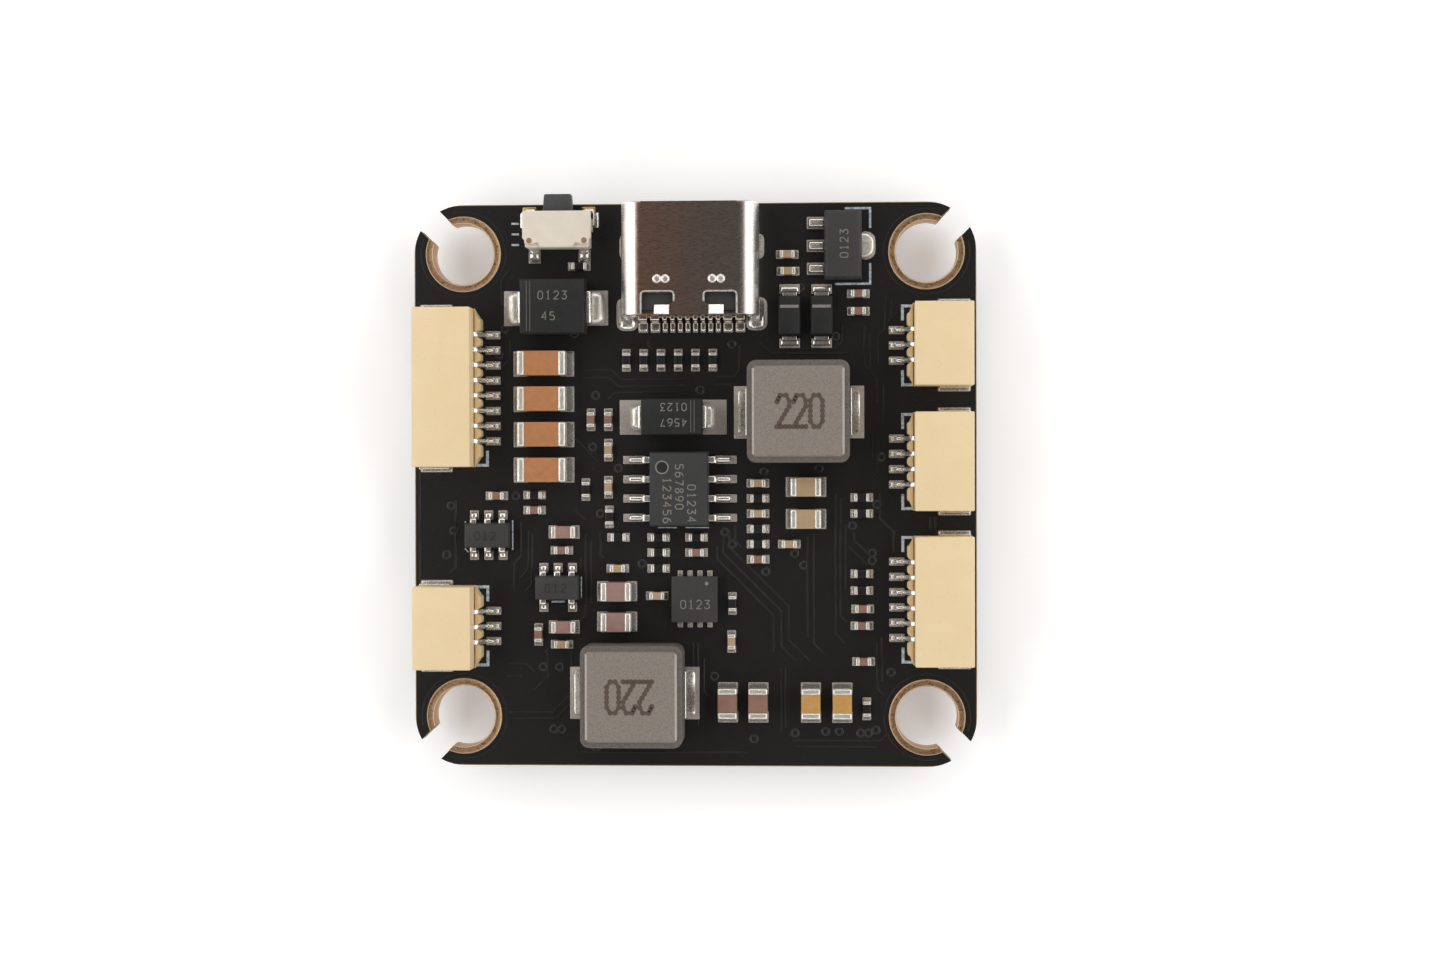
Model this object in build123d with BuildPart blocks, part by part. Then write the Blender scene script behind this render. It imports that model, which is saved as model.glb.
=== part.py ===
from build123d import *

import os
from math import cos, radians, sin, sqrt

# Flight controller board for a small drone, built as its separate soldered pieces.
# Millimetres. The origin is the centre of the four mounting holes on the board's lower face.
# +Z points up, towards the face with the sockets. +Y points to the edge with the USB socket.

# Bare board
board_size = 37.0
board_thickness = 1.6
board_corner_radius = 3.25
hole_pitch = 30.5
hole_radius = 2.0
hole_ring_width = 0.5
corner_slot_width = 1.8
plating_wall = 0.05

# Fits
press_clearance = 0.02
slide_clearance = 0.05
slot_clearance = 0.12

# USB socket
usb_x = -0.13
usb_width = 8.94
usb_height = 3.2
usb_depth = 7.3
usb_corner_radius = 1.3
usb_wall = 0.3
usb_front_inset = 0.2
usb_leg_thickness = 0.3
usb_leg_board_recess = 0.4
usb_front_leg = (2.65, 1.1)
usb_rear_leg = (6.75, 0.8)
usb_lead_window_height = 1.1
usb_block_depth = 2.4
usb_tongue_width = 6.69
usb_tongue_thickness = 0.7
usb_tongue_recess = 0.9
usb_tongue_strip_width = 0.25
usb_tongue_strip_length = 3.4
usb_pin_pitch = 0.5
usb_signal_lead_width = 0.3
usb_power_lead_width = 0.6
usb_power_lead_offsets = (2.4, 3.2)
usb_lead_reach = 1.15

# Push button on the edge
button_x = -8.85
button_width = 4.5
button_depth = 2.4
button_height = 1.8
button_front_inset = 0.6
button_floor = 0.3
button_cover_thickness = 0.25
button_wall = 0.45
button_front_wall = 0.5
button_peg_radius = 0.2
button_stem_width = 1.95
button_stem_height = 0.9
button_flange_width = 2.6
button_flange_depth = 0.3
button_overhang = 0.55
button_travel = 0.25
button_dome_flat_height = 0.1
button_dome_thickness = 0.08
button_dome_side_gap = 0.15
button_stem_edge = 0.08
button_terminal_width = 0.6

# Wire-to-board sockets
socket_pin_pitch = 1.0
socket_end_margin = 1.7
socket_height = 2.95
socket_depth = 4.25
socket_block_depth = 3.8
socket_ledge_height = 1.5
socket_edge_inset = 0.3
socket_wall = 0.45
socket_cavity_depth = 2.9
socket_pin_width = 0.3
socket_pin_thickness = 0.22
socket_pin_height = 1.25
socket_pin_recess = 0.7
socket_groove_width = 0.56
socket_foot_reach = 1.15
socket_tab_length = 2.0
socket_tab_thickness = 0.15
socket_tab_reach = 0.3
socket_tab_height = 1.1

# The five sockets: name, which edge (-1 left, 1 right), place along the edge, pins
sockets = [
    ("motor_socket", -1, 6.4, 8),
    ("sensor_socket", -1, -9.3, 3),
    ("light_socket", 1, 9.1, 3),
    ("receiver_socket", 1, 1.5, 4),
    ("video_socket", 1, -7.55, 6),
]

# Power inductors
inductor_size = 6.65
inductor_height = 3.0
inductor_corner_radius = 0.6
inductor_panel_inset = 0.38
inductor_panel_step = 0.2
inductor_terminal_width = 3.1
inductor_terminal_thickness = 0.15
inductor_terminal_height = 1.3
inductor_foot_length = 1.4
first_inductor_centre = (6.9, 4.75)
second_inductor_centre = (-3.95, -13.7)

# Rectangular chip parts: length, width, height, length of each metal end
chip_1206 = (3.2, 1.6, 1.6, 0.5)
chip_0805 = (2.0, 1.25, 1.2, 0.42)
chip_0603 = (1.6, 0.8, 0.8, 0.33)
chip_0402 = (1.0, 0.5, 0.5, 0.25)
resistor_0402 = (1.0, 0.5, 0.35, 0.22)
chip_body_inset = 0.02

# Where the chip parts sit. "across" lies along X and "upright" lies along Y.
input_row_pitch = 2.33
across_1206 = [(-9.92, 1.0 + input_row_pitch * i) for i in range(4)]
across_0805 = [(7.35, -0.15), (7.35, -2.25), (-5.1, -7.0), (-5.1, -9.0)]
upright_0805 = [(2.2, -14.3), (4.2, -14.3), (7.65, -14.3), (9.7, -14.3)]
across_0603 = [(-8.6, -3.1), (-8.6, -9.35)]
across_0402 = [
    (6.2, 14.0), (6.15, 15.1), (10.8, 12.5), (10.8, 11.35),
    (-13.05, -0.7), (-10.55, -1.65), (-8.75, -4.3), (-8.75, -10.5),
    (0.15, -4.45), (-5.05, -5.5), (-2.45, -7.3),
    (4.2, 0.1), (4.2, -1.9), (4.2, -4.9), (6.25, -3.9),
    (11.05, -8.15), (11.0, -9.25), (11.1, -11.6),
]
upright_0402 = [(-6.8, 4.3), (-5.65, 4.3), (-5.65, 2.3), (-5.65, -0.15), (2.45, -10.3), (-10.3, -9.85)]
across_resistors = [
    (-7.55, 14.4), (-10.55, -0.65), (-5.0, -3.45), (-2.35, -3.45), (0.15, -3.45),
    (-2.35, -4.45), (-2.35, -5.5), (4.2, -0.9), (4.2, -2.9), (4.2, -3.9),
    (11.0, -0.85), (11.0, -1.9), (11.0, -5.85), (11.0, -6.95),
]
usb_resistor_pitch = 1.14
usb_resistor_row = [(-4.45 + usb_resistor_pitch * i, 8.2) for i in range(6)]
upright_resistors = usb_resistor_row + [(-7.15, -0.3), (-5.6, -2.1), (2.5, -7.8), (11.3, -14.7)]

# Chip capacitors on the lower face, around the processor and the overlay chip
processor_ring = 7.9
lower_across_0402 = [(x, y * processor_ring) for x in (-3.0, 0.0, 3.0) for y in (-1, 1)]
lower_upright_0402 = [(x * processor_ring, y) for x in (-1, 1) for y in (-3.0, 0.0, 3.0)]

# Diodes: body length, body width, body height, and the width and thickness of the terminals
surge_diode = (4.3, 3.6, 2.3, 2.05, 0.22)
rectifier_diode = (4.0, 2.4, 2.1, 1.45, 0.2)
signal_diode = (2.6, 1.45, 1.0, 0.95, 0.15)
surge_diode_centre = (-9.1, 11.65)
rectifier_diode_centre = (-1.37, 4.45)
signal_diode_centres = [(6.3, 11.05), (8.4, 11.05)]
diode_stand_off = 0.1
signal_diode_lead_reach = 0.5

# Packages with bent leads: body along X, body along Y, body height
buck_body = (3.9, 4.9, 1.5)
load_switch_body = (3.0, 1.65, 1.1)
logic_regulator_body = (2.9, 1.6, 1.1)
processor_body = (10.0, 10.0, 1.4)
overlay_body = (9.7, 4.4, 1.0)
buck_centre = (-0.93, -0.26)
load_switch_centre = (-13.6, -3.3)
logic_regulator_centre = (-9.0, -6.75)
processor_centre = (0.0, 0.0)
overlay_centre = (0.0, -12.6)
package_stand_off = 0.1
package_edge = 0.15
small_package_edge = 0.1
leadless_edge = 0.05

# Bent leads: pitch, width, reach, height where they leave the package, and thickness
buck_lead = (1.27, 0.42, 1.05, 0.8, 0.2)
small_lead = (0.95, 0.4, 0.6, 0.6, 0.15)
processor_lead = (0.5, 0.22, 1.0, 0.75, 0.14)
overlay_lead = (0.65, 0.25, 0.95, 0.55, 0.14)

# Packages with flat leads or with pads underneath
main_regulator_body = (2.45, 4.5, 1.5)
main_regulator_centre = (9.8, 15.65)
main_regulator_lead_reach = 1.0
main_regulator_lead_width = 0.5
main_regulator_lead_pitch = 1.5
main_regulator_tab_width = 1.65
main_regulator_lead_thickness = 0.4
converter_body = (3.0, 3.0, 0.75)
converter_centre = (0.05, -7.5)
converter_pad = (0.3, 0.5, 0.05)
converter_pad_pitch = 0.65
converter_middle_pad_share = (0.55, 0.45)
motion_sensor_body = (2.5, 3.0, 0.9)
motion_sensor_centre = (-12.0, 0.0)
barometer_body = (2.5, 2.0, 0.95)
barometer_centre = (12.0, 3.0)
flash_memory_body = (6.0, 5.0, 0.8)
flash_memory_centre = (0.0, 11.6)
crystal_body = (3.2, 2.5, 0.75)
crystal_centres = [(-9.0, -9.6), (9.0, -9.6)]

# Worked out from the sizes above
top = board_thickness
half_board = board_size / 2
drill_radius = hole_radius + plating_wall
hole_ring_radius = hole_radius + hole_ring_width
hole_circle_radius = hole_pitch / sqrt(2)
corner_slot_length = (board_size - hole_pitch) / sqrt(2)
corner_slot_middle = hole_circle_radius + corner_slot_length / 2
usb_middle_z = top + usb_height / 2
usb_front_y = half_board - usb_front_inset
usb_rear_y = usb_front_y - usb_depth
usb_leg_x = usb_width / 2 - usb_leg_thickness / 2
usb_leg_depth = board_thickness - usb_leg_board_recess
button_front_y = half_board - button_front_inset
button_rear_y = button_front_y - button_depth
button_middle_y = (button_front_y + button_rear_y) / 2
button_dome_height = button_travel + button_dome_flat_height
socket_face_x = half_board - socket_edge_inset

os.makedirs("parts", exist_ok=True)


def save(piece, label):
    """Labels a finished piece and writes its file."""
    piece.part.label = label
    export_step(piece.part, f"parts/{label}.step")


# Circuit board: one square plate of glass-fibre laminate. The four mounting holes are open to
# their corners through a slanted slot, and four oblong slots take the legs of the USB socket.
with BuildPart() as circuit_board:
    with BuildSketch(Plane.XY):
        RectangleRounded(board_size, board_size, board_corner_radius)
        with GridLocations(hole_pitch, hole_pitch, 2, 2):
            Circle(drill_radius, mode=Mode.SUBTRACT)
        with PolarLocations(corner_slot_middle, 4, start_angle=45):
            Rectangle(corner_slot_length, corner_slot_width, mode=Mode.SUBTRACT)
        for leg_back, leg_width in (usb_front_leg, usb_rear_leg):
            with Locations((usb_x, usb_front_y - leg_back)):
                with GridLocations(2 * usb_leg_x, 0, 2, 1):
                    slot_width = usb_leg_thickness + 2 * slot_clearance
                    slot_length = leg_width + slot_width
                    SlotOverall(slot_length, slot_width, rotation=90, mode=Mode.SUBTRACT)
    extrude(amount=board_thickness)
save(circuit_board, "circuit_board")

# Hole plating: a thin copper sleeve in each mounting hole with a flat ring on both faces,
# broken where the corner slot passes.
with BuildPart() as hole_plating:
    with BuildSketch(Plane.XY.offset(-plating_wall)):
        with GridLocations(hole_pitch, hole_pitch, 2, 2):
            Circle(hole_ring_radius)
            Circle(hole_radius, mode=Mode.SUBTRACT)
        with PolarLocations(corner_slot_middle, 4, start_angle=45):
            Rectangle(corner_slot_length, corner_slot_width, mode=Mode.SUBTRACT)
    extrude(amount=board_thickness + 2 * plating_wall)
    with BuildSketch(Plane.XY):
        with GridLocations(hole_pitch, hole_pitch, 2, 2):
            Circle(hole_ring_radius + slot_clearance)
            Circle(drill_radius, mode=Mode.SUBTRACT)
    extrude(amount=board_thickness, mode=Mode.SUBTRACT)
save(hole_plating, "hole_plating")


# USB socket shell: folded steel, a rounded tube with four legs that go down into the board.
# Two stepped windows near the back show the insulator, and the back is closed above the leads.
usb_window_width = 2.2
usb_window_side = 0.85
usb_window_depth = 1.5
usb_window_step = 0.65
usb_window_middle = 2.06
with BuildPart() as usb_shell:
    with BuildSketch(Plane.XZ.offset(-usb_front_y)):
        with Locations((usb_x, usb_middle_z)):
            RectangleRounded(usb_width, usb_height, usb_corner_radius)
            inner_radius = usb_corner_radius - usb_wall
            inner_width = usb_width - 2 * usb_wall
            inner_height = usb_height - 2 * usb_wall
            RectangleRounded(inner_width, inner_height, inner_radius, mode=Mode.SUBTRACT)
    extrude(amount=usb_depth)
    with BuildSketch(Plane.XZ.offset(-usb_rear_y)):
        with Locations((usb_x, usb_middle_z)):
            RectangleRounded(usb_width, usb_height, usb_corner_radius)
        with Locations((usb_x, top)):
            widest_lead = max(usb_power_lead_offsets) + usb_power_lead_width / 2
            lead_window_width = 2 * (widest_lead + slot_clearance)
            Rectangle(lead_window_width, 2 * usb_lead_window_height, mode=Mode.SUBTRACT)
    extrude(amount=-usb_wall)
    for leg_back, leg_width in (usb_front_leg, usb_rear_leg):
        with BuildSketch(Plane.XY.offset(usb_middle_z)):
            with Locations((usb_x, usb_front_y - leg_back)):
                with GridLocations(2 * usb_leg_x, 0, 2, 1):
                    Rectangle(usb_leg_thickness, leg_width)
        extrude(amount=-(usb_height / 2 + usb_leg_depth))
    with BuildSketch(Plane.XY.offset(top + usb_height)):
        window_back_y = usb_rear_y + usb_wall
        for side in (-1, 1):
            far_y = window_back_y + (usb_window_step + usb_window_depth) / 2
            step_x = side * (usb_window_middle + (usb_window_width - usb_window_side) / 2)
            with Locations((usb_x + side * usb_window_middle, far_y)):
                Rectangle(usb_window_width, usb_window_depth - usb_window_step)
            with Locations((usb_x + step_x, window_back_y + usb_window_depth / 2)):
                Rectangle(usb_window_side, usb_window_depth)
    extrude(amount=-usb_wall, mode=Mode.SUBTRACT)
save(usb_shell, "usb_shell")

# USB insulator: black moulded plastic that fills the back of the shell and carries the tongue.
usb_block_front_y = usb_rear_y + usb_wall + usb_block_depth
usb_tongue_length = usb_front_y - usb_tongue_recess - usb_block_front_y
with BuildPart() as usb_insulator:
    with BuildSketch(Plane.XZ.offset(-usb_block_front_y)):
        with Locations((usb_x, usb_middle_z)):
            block_width = inner_width - 2 * press_clearance
            block_height = inner_height - 2 * press_clearance
            RectangleRounded(block_width, block_height, inner_radius)
    extrude(amount=usb_block_depth)
    with BuildSketch(Plane.XZ.offset(-usb_block_front_y)):
        with Locations((usb_x, usb_middle_z)):
            Rectangle(usb_tongue_width, usb_tongue_thickness)
    extrude(amount=-usb_tongue_length)
save(usb_insulator, "usb_insulator")


def lead_plane(x, y, outward_angle, face_z, up):
    """A plane standing on the board: its x points out of the package and its y away from the board."""
    outward = Vector(cos(radians(outward_angle)), sin(radians(outward_angle)), 0)
    return Plane(origin=(x, y, face_z), x_dir=outward, z_dir=outward.cross(Vector(0, 0, up)))


def bent_lead_outline(reach, exit_height, thickness):
    """Side view of a lead that leaves its package level, drops to the board and ends in a flat foot."""
    shoulder = reach * 0.3
    knee = shoulder + thickness
    low, high = exit_height - thickness / 2, exit_height + thickness / 2
    level = [(0, high), (0, low), (shoulder, low)]
    foot = [(shoulder, 0), (reach, 0), (reach, thickness), (knee, thickness)]
    return level + foot + [(knee, high)]


def bent_leads(label, places, reach, exit_height, thickness, up=1):
    """Bent leads at (x, y, outward angle, width), in one group."""
    face_z = top if up > 0 else 0
    with BuildPart() as leads:
        for x, y, outward_angle, width in places:
            with BuildSketch(lead_plane(x, y, outward_angle, face_z, up)):
                with BuildLine():
                    Polyline(*bent_lead_outline(reach, exit_height, thickness), close=True)
                make_face()
            extrude(amount=width / 2, both=True)
    save(leads, label)


# USB contacts: eight narrow and four wide leads behind the socket, and the gold strips that lie
# on both sides of the tongue.
usb_contact_thickness = 0.15
usb_lead_exit = 0.6
usb_strip_thickness = 0.05
usb_signal_offsets = [usb_pin_pitch * (i - 3.5) for i in range(8)]
usb_power_offsets = [side * offset for side in (-1, 1) for offset in usb_power_lead_offsets]
usb_lead_widths = [(x, usb_signal_lead_width) for x in usb_signal_offsets]
usb_lead_widths += [(x, usb_power_lead_width) for x in usb_power_offsets]
with BuildPart() as usb_contacts:
    for offset, width in usb_lead_widths:
        with BuildSketch(lead_plane(usb_x + offset, usb_rear_y + usb_wall, 270, top, 1)):
            with BuildLine():
                Polyline(*bent_lead_outline(usb_lead_reach, usb_lead_exit, usb_contact_thickness), close=True)
            make_face()
        extrude(amount=width / 2, both=True)
    for side in (-1, 1):
        with BuildSketch(Plane.XY.offset(usb_middle_z + side * usb_tongue_thickness / 2)):
            strip_y = usb_block_front_y + usb_tongue_strip_length / 2
            with Locations((usb_x, strip_y)):
                with GridLocations(usb_pin_pitch, 0, 12, 1):
                    Rectangle(usb_tongue_strip_width, usb_tongue_strip_length)
        extrude(amount=side * usb_strip_thickness)
save(usb_contacts, "usb_contacts")


# Push button base: an ivory plastic box, open on top, with a pocket for the snap dome and a slot
# in its front wall for the stem. Two pegs rise through the cover.
pocket_front_y = button_front_y - button_front_wall
pocket_rear_y = pocket_front_y - slide_clearance - button_flange_depth - button_dome_height
pocket_width = button_flange_width + 2 * slide_clearance
pocket_middle_y = (pocket_front_y + pocket_rear_y) / 2
button_top = button_height - button_cover_thickness
peg_x = button_width / 2 - button_wall
peg_y = button_rear_y + button_wall
stem_slot_width = button_stem_width + 2 * slide_clearance
stem_bottom = top + button_floor + slide_clearance
with BuildPart() as button_base:
    with BuildSketch(Plane.XY.offset(top)):
        with Locations((button_x, button_middle_y)):
            Rectangle(button_width, button_depth)
    extrude(amount=button_top)
    with BuildSketch(Plane.XY.offset(top + button_top)):
        with Locations((button_x, pocket_middle_y)):
            Rectangle(pocket_width, pocket_front_y - pocket_rear_y)
        with Locations((button_x, pocket_front_y + button_front_wall / 2)):
            Rectangle(stem_slot_width, button_front_wall)
    extrude(amount=-(button_top - button_floor), mode=Mode.SUBTRACT)
    with BuildSketch(Plane.XY.offset(top + button_top)):
        with Locations((button_x, peg_y)):
            with GridLocations(2 * peg_x, 0, 2, 1):
                Circle(button_peg_radius)
    extrude(amount=button_cover_thickness)
save(button_base, "button_base")

# Push button cover: the flat lid, held by the two pegs.
with BuildPart() as button_cover:
    with BuildSketch(Plane.XY.offset(top + button_top)):
        with Locations((button_x, button_middle_y)):
            Rectangle(button_width, button_depth)
        with Locations((button_x, peg_y)):
            with GridLocations(2 * peg_x, 0, 2, 1):
                Circle(button_peg_radius + press_clearance, mode=Mode.SUBTRACT)
    extrude(amount=button_cover_thickness)
save(button_cover, "button_cover")

# Push button plunger: a dark stem that sticks out over the board's edge, with a flange behind the
# front wall that keeps it in.
plunger_front_y = half_board + button_overhang
flange_front_y = pocket_front_y - slide_clearance
flange_rear_y = flange_front_y - button_flange_depth
with BuildPart() as button_plunger:
    with BuildSketch(Plane.XY.offset(stem_bottom)):
        with Locations((button_x, (plunger_front_y + flange_rear_y) / 2)):
            Rectangle(button_stem_width, plunger_front_y - flange_rear_y)
        with Locations((button_x, (flange_front_y + flange_rear_y) / 2)):
            Rectangle(button_flange_width, button_flange_depth)
    extrude(amount=button_stem_height)
    front_edges = button_plunger.faces().sort_by(Axis.Y)[-1].edges()
    chamfer(front_edges, button_stem_edge)
save(button_plunger, "button_plunger")

# Push button dome: a bowed strip of spring steel that stands against the pocket's back wall.
dome_half_width = pocket_width / 2 - button_dome_side_gap
with BuildPart() as button_dome:
    with BuildSketch(Plane.XY.offset(stem_bottom)):
        with BuildLine():
            dome_crest_y = flange_rear_y - press_clearance
            left_foot = (button_x - dome_half_width, pocket_rear_y)
            right_foot = (button_x + dome_half_width, pocket_rear_y)
            right_inside = (right_foot[0] - button_dome_thickness, pocket_rear_y)
            left_inside = (left_foot[0] + button_dome_thickness, pocket_rear_y)
            ThreePointArc(left_foot, (button_x, dome_crest_y), right_foot)
            Line(right_foot, right_inside)
            ThreePointArc(right_inside, (button_x, dome_crest_y - button_dome_thickness), left_inside)
            Line(left_inside, left_foot)
        make_face()
    extrude(amount=button_stem_height)
save(button_dome, "button_dome")

# Push button terminals: two feet behind the base, two in front of it and a tab on each side.
button_foot_thickness = 0.15
button_rear_foot_x = 1.65
button_front_foot_x = 1.95
button_rear_foot_length = 0.75
button_front_foot_length = 0.3
button_tab_width = 0.9
button_tab_height = 1.0
with BuildPart() as button_terminals:
    with BuildSketch(Plane.XY.offset(top)):
        with Locations((button_x, button_rear_y - button_rear_foot_length / 2)):
            with GridLocations(2 * button_rear_foot_x, 0, 2, 1):
                Rectangle(button_terminal_width, button_rear_foot_length)
        with Locations((button_x, button_front_y + button_front_foot_length / 2)):
            with GridLocations(2 * button_front_foot_x, 0, 2, 1):
                Rectangle(button_terminal_width, button_front_foot_length)
    extrude(amount=button_foot_thickness)
    with BuildSketch(Plane.XY.offset(top)):
        with Locations((button_x, button_front_y - button_tab_width / 2)):
            with GridLocations(button_width + button_foot_thickness, 0, 2, 1):
                Rectangle(button_foot_thickness, button_tab_width)
    extrude(amount=button_tab_height)
save(button_terminals, "button_terminals")


def wire_socket(label, side, centre_y, pins):
    """A side-entry wire socket: moulded housing, its row of pins and the two solder tabs at its ends."""
    outward_angle = 0 if side > 0 else 180
    face_x = side * socket_face_x
    length = socket_pin_pitch * (pins - 1) + 2 * socket_end_margin
    pin_places = [centre_y + socket_pin_pitch * (i - (pins - 1) / 2) for i in range(pins)]
    middle = lead_plane(face_x, centre_y, outward_angle, top, 1)
    back = -socket_block_depth
    foot_end = -(socket_depth + socket_foot_reach)
    pin_low = socket_pin_height - socket_pin_thickness / 2
    pin_high = socket_pin_height + socket_pin_thickness / 2

    # Housing: a tall block open at its mating face, and a low ledge behind it, cut for each pin.
    with BuildPart() as housing:
        with BuildSketch(middle):
            with BuildLine():
                block = [(0, 0), (0, socket_height), (back, socket_height), (back, socket_ledge_height)]
                ledge = [(-socket_depth, socket_ledge_height), (-socket_depth, 0)]
                Polyline(*(block + ledge), close=True)
            make_face()
        extrude(amount=length / 2, both=True)
        with BuildSketch(middle):
            with Locations((-socket_cavity_depth / 2, socket_height / 2)):
                Rectangle(socket_cavity_depth, socket_height - 2 * socket_wall)
        extrude(amount=length / 2 - socket_wall, both=True, mode=Mode.SUBTRACT)
        for pin_y in pin_places:
            pin_plane = lead_plane(face_x, pin_y, outward_angle, top, 1)
            with BuildSketch(pin_plane):
                with Locations(((back - socket_cavity_depth) / 2, socket_pin_height)):
                    passage_length = socket_block_depth - socket_cavity_depth
                    passage_height = socket_pin_thickness + 2 * press_clearance
                    Rectangle(passage_length, passage_height)
            passage_width = socket_pin_width + 2 * press_clearance
            extrude(amount=passage_width / 2, both=True, mode=Mode.SUBTRACT)
            with BuildSketch(pin_plane):
                with Locations(((back - socket_depth) / 2, socket_ledge_height / 2)):
                    Rectangle(socket_depth - socket_block_depth, socket_ledge_height)
            extrude(amount=socket_groove_width / 2, both=True, mode=Mode.SUBTRACT)
    save(housing, f"{label}_housing")

    # Pins: square wire from inside the mouth, through the back wall and down to the board.
    with BuildPart() as pins_group:
        for pin_y in pin_places:
            with BuildSketch(lead_plane(face_x, pin_y, outward_angle, top, 1)):
                with BuildLine():
                    heel = back - socket_pin_thickness - press_clearance
                    knee = -socket_depth - 2 * socket_pin_thickness
                    upper = [(-socket_pin_recess, pin_low), (-socket_pin_recess, pin_high)]
                    outer = [(heel, pin_high), (knee, socket_pin_thickness)]
                    foot = [(foot_end, socket_pin_thickness), (foot_end, 0)]
                    inner = [(knee + socket_pin_thickness, 0), (heel + socket_pin_thickness, pin_low)]
                    Polyline(*(upper + outer + foot + inner), close=True)
                make_face()
            extrude(amount=socket_pin_width / 2, both=True)
    save(pins_group, f"{label}_pins")

    # Solder tabs: a folded strip against each end of the housing, with a foot on the board.
    with BuildPart() as tabs:
        with BuildSketch(Plane.XY.offset(top)):
            with Locations((face_x - side * (socket_tab_length / 2 + socket_tab_thickness), centre_y)):
                with GridLocations(0, length + socket_tab_reach, 1, 2):
                    Rectangle(socket_tab_length, socket_tab_reach)
        extrude(amount=socket_tab_thickness)
        with BuildSketch(Plane.XY.offset(top)):
            with Locations((face_x - side * (socket_tab_length / 2 + socket_tab_thickness), centre_y)):
                with GridLocations(0, length + socket_tab_thickness, 1, 2):
                    Rectangle(socket_tab_length, socket_tab_thickness)
        extrude(amount=socket_tab_height)
    save(tabs, f"{label}_tabs")


for socket_name, edge_side, edge_place, pin_count in sockets:
    wire_socket(socket_name, edge_side, edge_place, pin_count)


def power_inductor(label, centre):
    """A moulded power inductor: a square block of pressed iron powder on two folded copper terminals."""
    core_base = top + inductor_terminal_thickness
    with BuildPart() as core:
        with BuildSketch(Plane.XY.offset(core_base)):
            with Locations(centre):
                RectangleRounded(inductor_size, inductor_size, inductor_corner_radius)
        extrude(amount=inductor_height - inductor_terminal_thickness - inductor_panel_step)
        with BuildSketch(Plane.XY.offset(top + inductor_height - inductor_panel_step)):
            with Locations(centre):
                panel_size = inductor_size - 2 * inductor_panel_inset
                RectangleRounded(panel_size, panel_size, inductor_corner_radius)
        extrude(amount=inductor_panel_step)
        chamfer(core.faces().sort_by(Axis.Z)[-1].edges(), inductor_panel_step / 2)
    save(core, f"{label}_core")
    with BuildPart() as terminals:
        with BuildSketch(Plane.XY.offset(top)):
            with Locations(centre):
                foot_middle = inductor_size / 2 + inductor_terminal_thickness - inductor_foot_length / 2
                with GridLocations(2 * foot_middle, 0, 2, 1):
                    Rectangle(inductor_foot_length, inductor_terminal_width)
        extrude(amount=inductor_terminal_thickness)
        with BuildSketch(Plane.XY.offset(top)):
            with Locations(centre):
                with GridLocations(inductor_size + inductor_terminal_thickness, 0, 2, 1):
                    Rectangle(inductor_terminal_thickness, inductor_terminal_width)
        extrude(amount=inductor_terminal_height)
    save(terminals, f"{label}_terminals")


power_inductor("first_inductor", first_inductor_centre)
power_inductor("second_inductor", second_inductor_centre)


def folded_diode(label, sizes, centre):
    """A moulded diode on two strips that leave it at mid-height and fold down and under it."""
    length, width, height, strip_width, strip_thickness = sizes
    base = strip_thickness + diode_stand_off
    with BuildPart() as body:
        with BuildSketch(Plane.XY.offset(top + base)):
            with Locations(centre):
                Rectangle(length, width)
        extrude(amount=height - base)
        chamfer(body.faces().sort_by(Axis.Z)[-1].edges(), package_edge)
    save(body, f"{label}_body")
    with BuildPart() as terminals:
        with BuildSketch(Plane.XY.offset(top)):
            with Locations(centre):
                with GridLocations(length - 3 * strip_thickness, 0, 2, 1):
                    Rectangle(5 * strip_thickness, strip_width)
        extrude(amount=strip_thickness)
        with BuildSketch(Plane.XY.offset(top)):
            with Locations(centre):
                with GridLocations(length + strip_thickness, 0, 2, 1):
                    Rectangle(strip_thickness, strip_width)
        extrude(amount=height / 2)
    save(terminals, f"{label}_terminals")


folded_diode("surge_diode", surge_diode, surge_diode_centre)
folded_diode("rectifier_diode", rectifier_diode, rectifier_diode_centre)

# Signal diodes: two small flat packages that lie along Y, with a flat lead at each end.
signal_length, signal_width, signal_height, signal_lead_width, signal_lead_thickness = signal_diode
with BuildPart() as signal_diode_bodies:
    with BuildSketch(Plane.XY.offset(top)):
        with Locations(*signal_diode_centres):
            Rectangle(signal_width, signal_length)
    extrude(amount=signal_height)
    chamfer(signal_diode_bodies.faces().group_by(Axis.Z)[-1].edges(), package_edge / 2)
save(signal_diode_bodies, "signal_diode_bodies")
with BuildPart() as signal_diode_terminals:
    with BuildSketch(Plane.XY.offset(top)):
        for centre_x, centre_y in signal_diode_centres:
            with Locations((centre_x, centre_y)):
                with GridLocations(0, signal_length + signal_diode_lead_reach, 1, 2):
                    Rectangle(signal_lead_width, signal_diode_lead_reach)
    extrude(amount=signal_lead_thickness)
save(signal_diode_terminals, "signal_diode_terminals")


def moulded_package(label, centres, sizes, stand_off, edge, up=1):
    """One or more moulded blocks with bevelled edges on the face away from the board."""
    length, width, height = sizes
    face_z = top if up > 0 else 0
    with BuildPart() as body:
        with BuildSketch(Plane.XY.offset(face_z + up * stand_off)):
            with Locations(*centres):
                Rectangle(length, width)
        extrude(amount=up * height)
        outer_face = body.faces().group_by(Axis.Z)[-1 if up > 0 else 0]
        chamfer(outer_face.edges(), edge)
    save(body, label)


def lead_row(centre, half_span, count, lead, sides):
    """Places for equal leads on opposite sides of a package: 'x' for its X sides, 'y' for its Y sides."""
    pitch, width = lead[:2]
    places = []
    for i in range(count):
        along = pitch * (i - (count - 1) / 2)
        for side in (-1, 1):
            if sides == "x":
                angle = 0 if side > 0 else 180
                places.append((centre[0] + side * half_span, centre[1] + along, angle, width))
            else:
                angle = 90 if side > 0 else 270
                places.append((centre[0] + along, centre[1] + side * half_span, angle, width))
    return places


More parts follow.
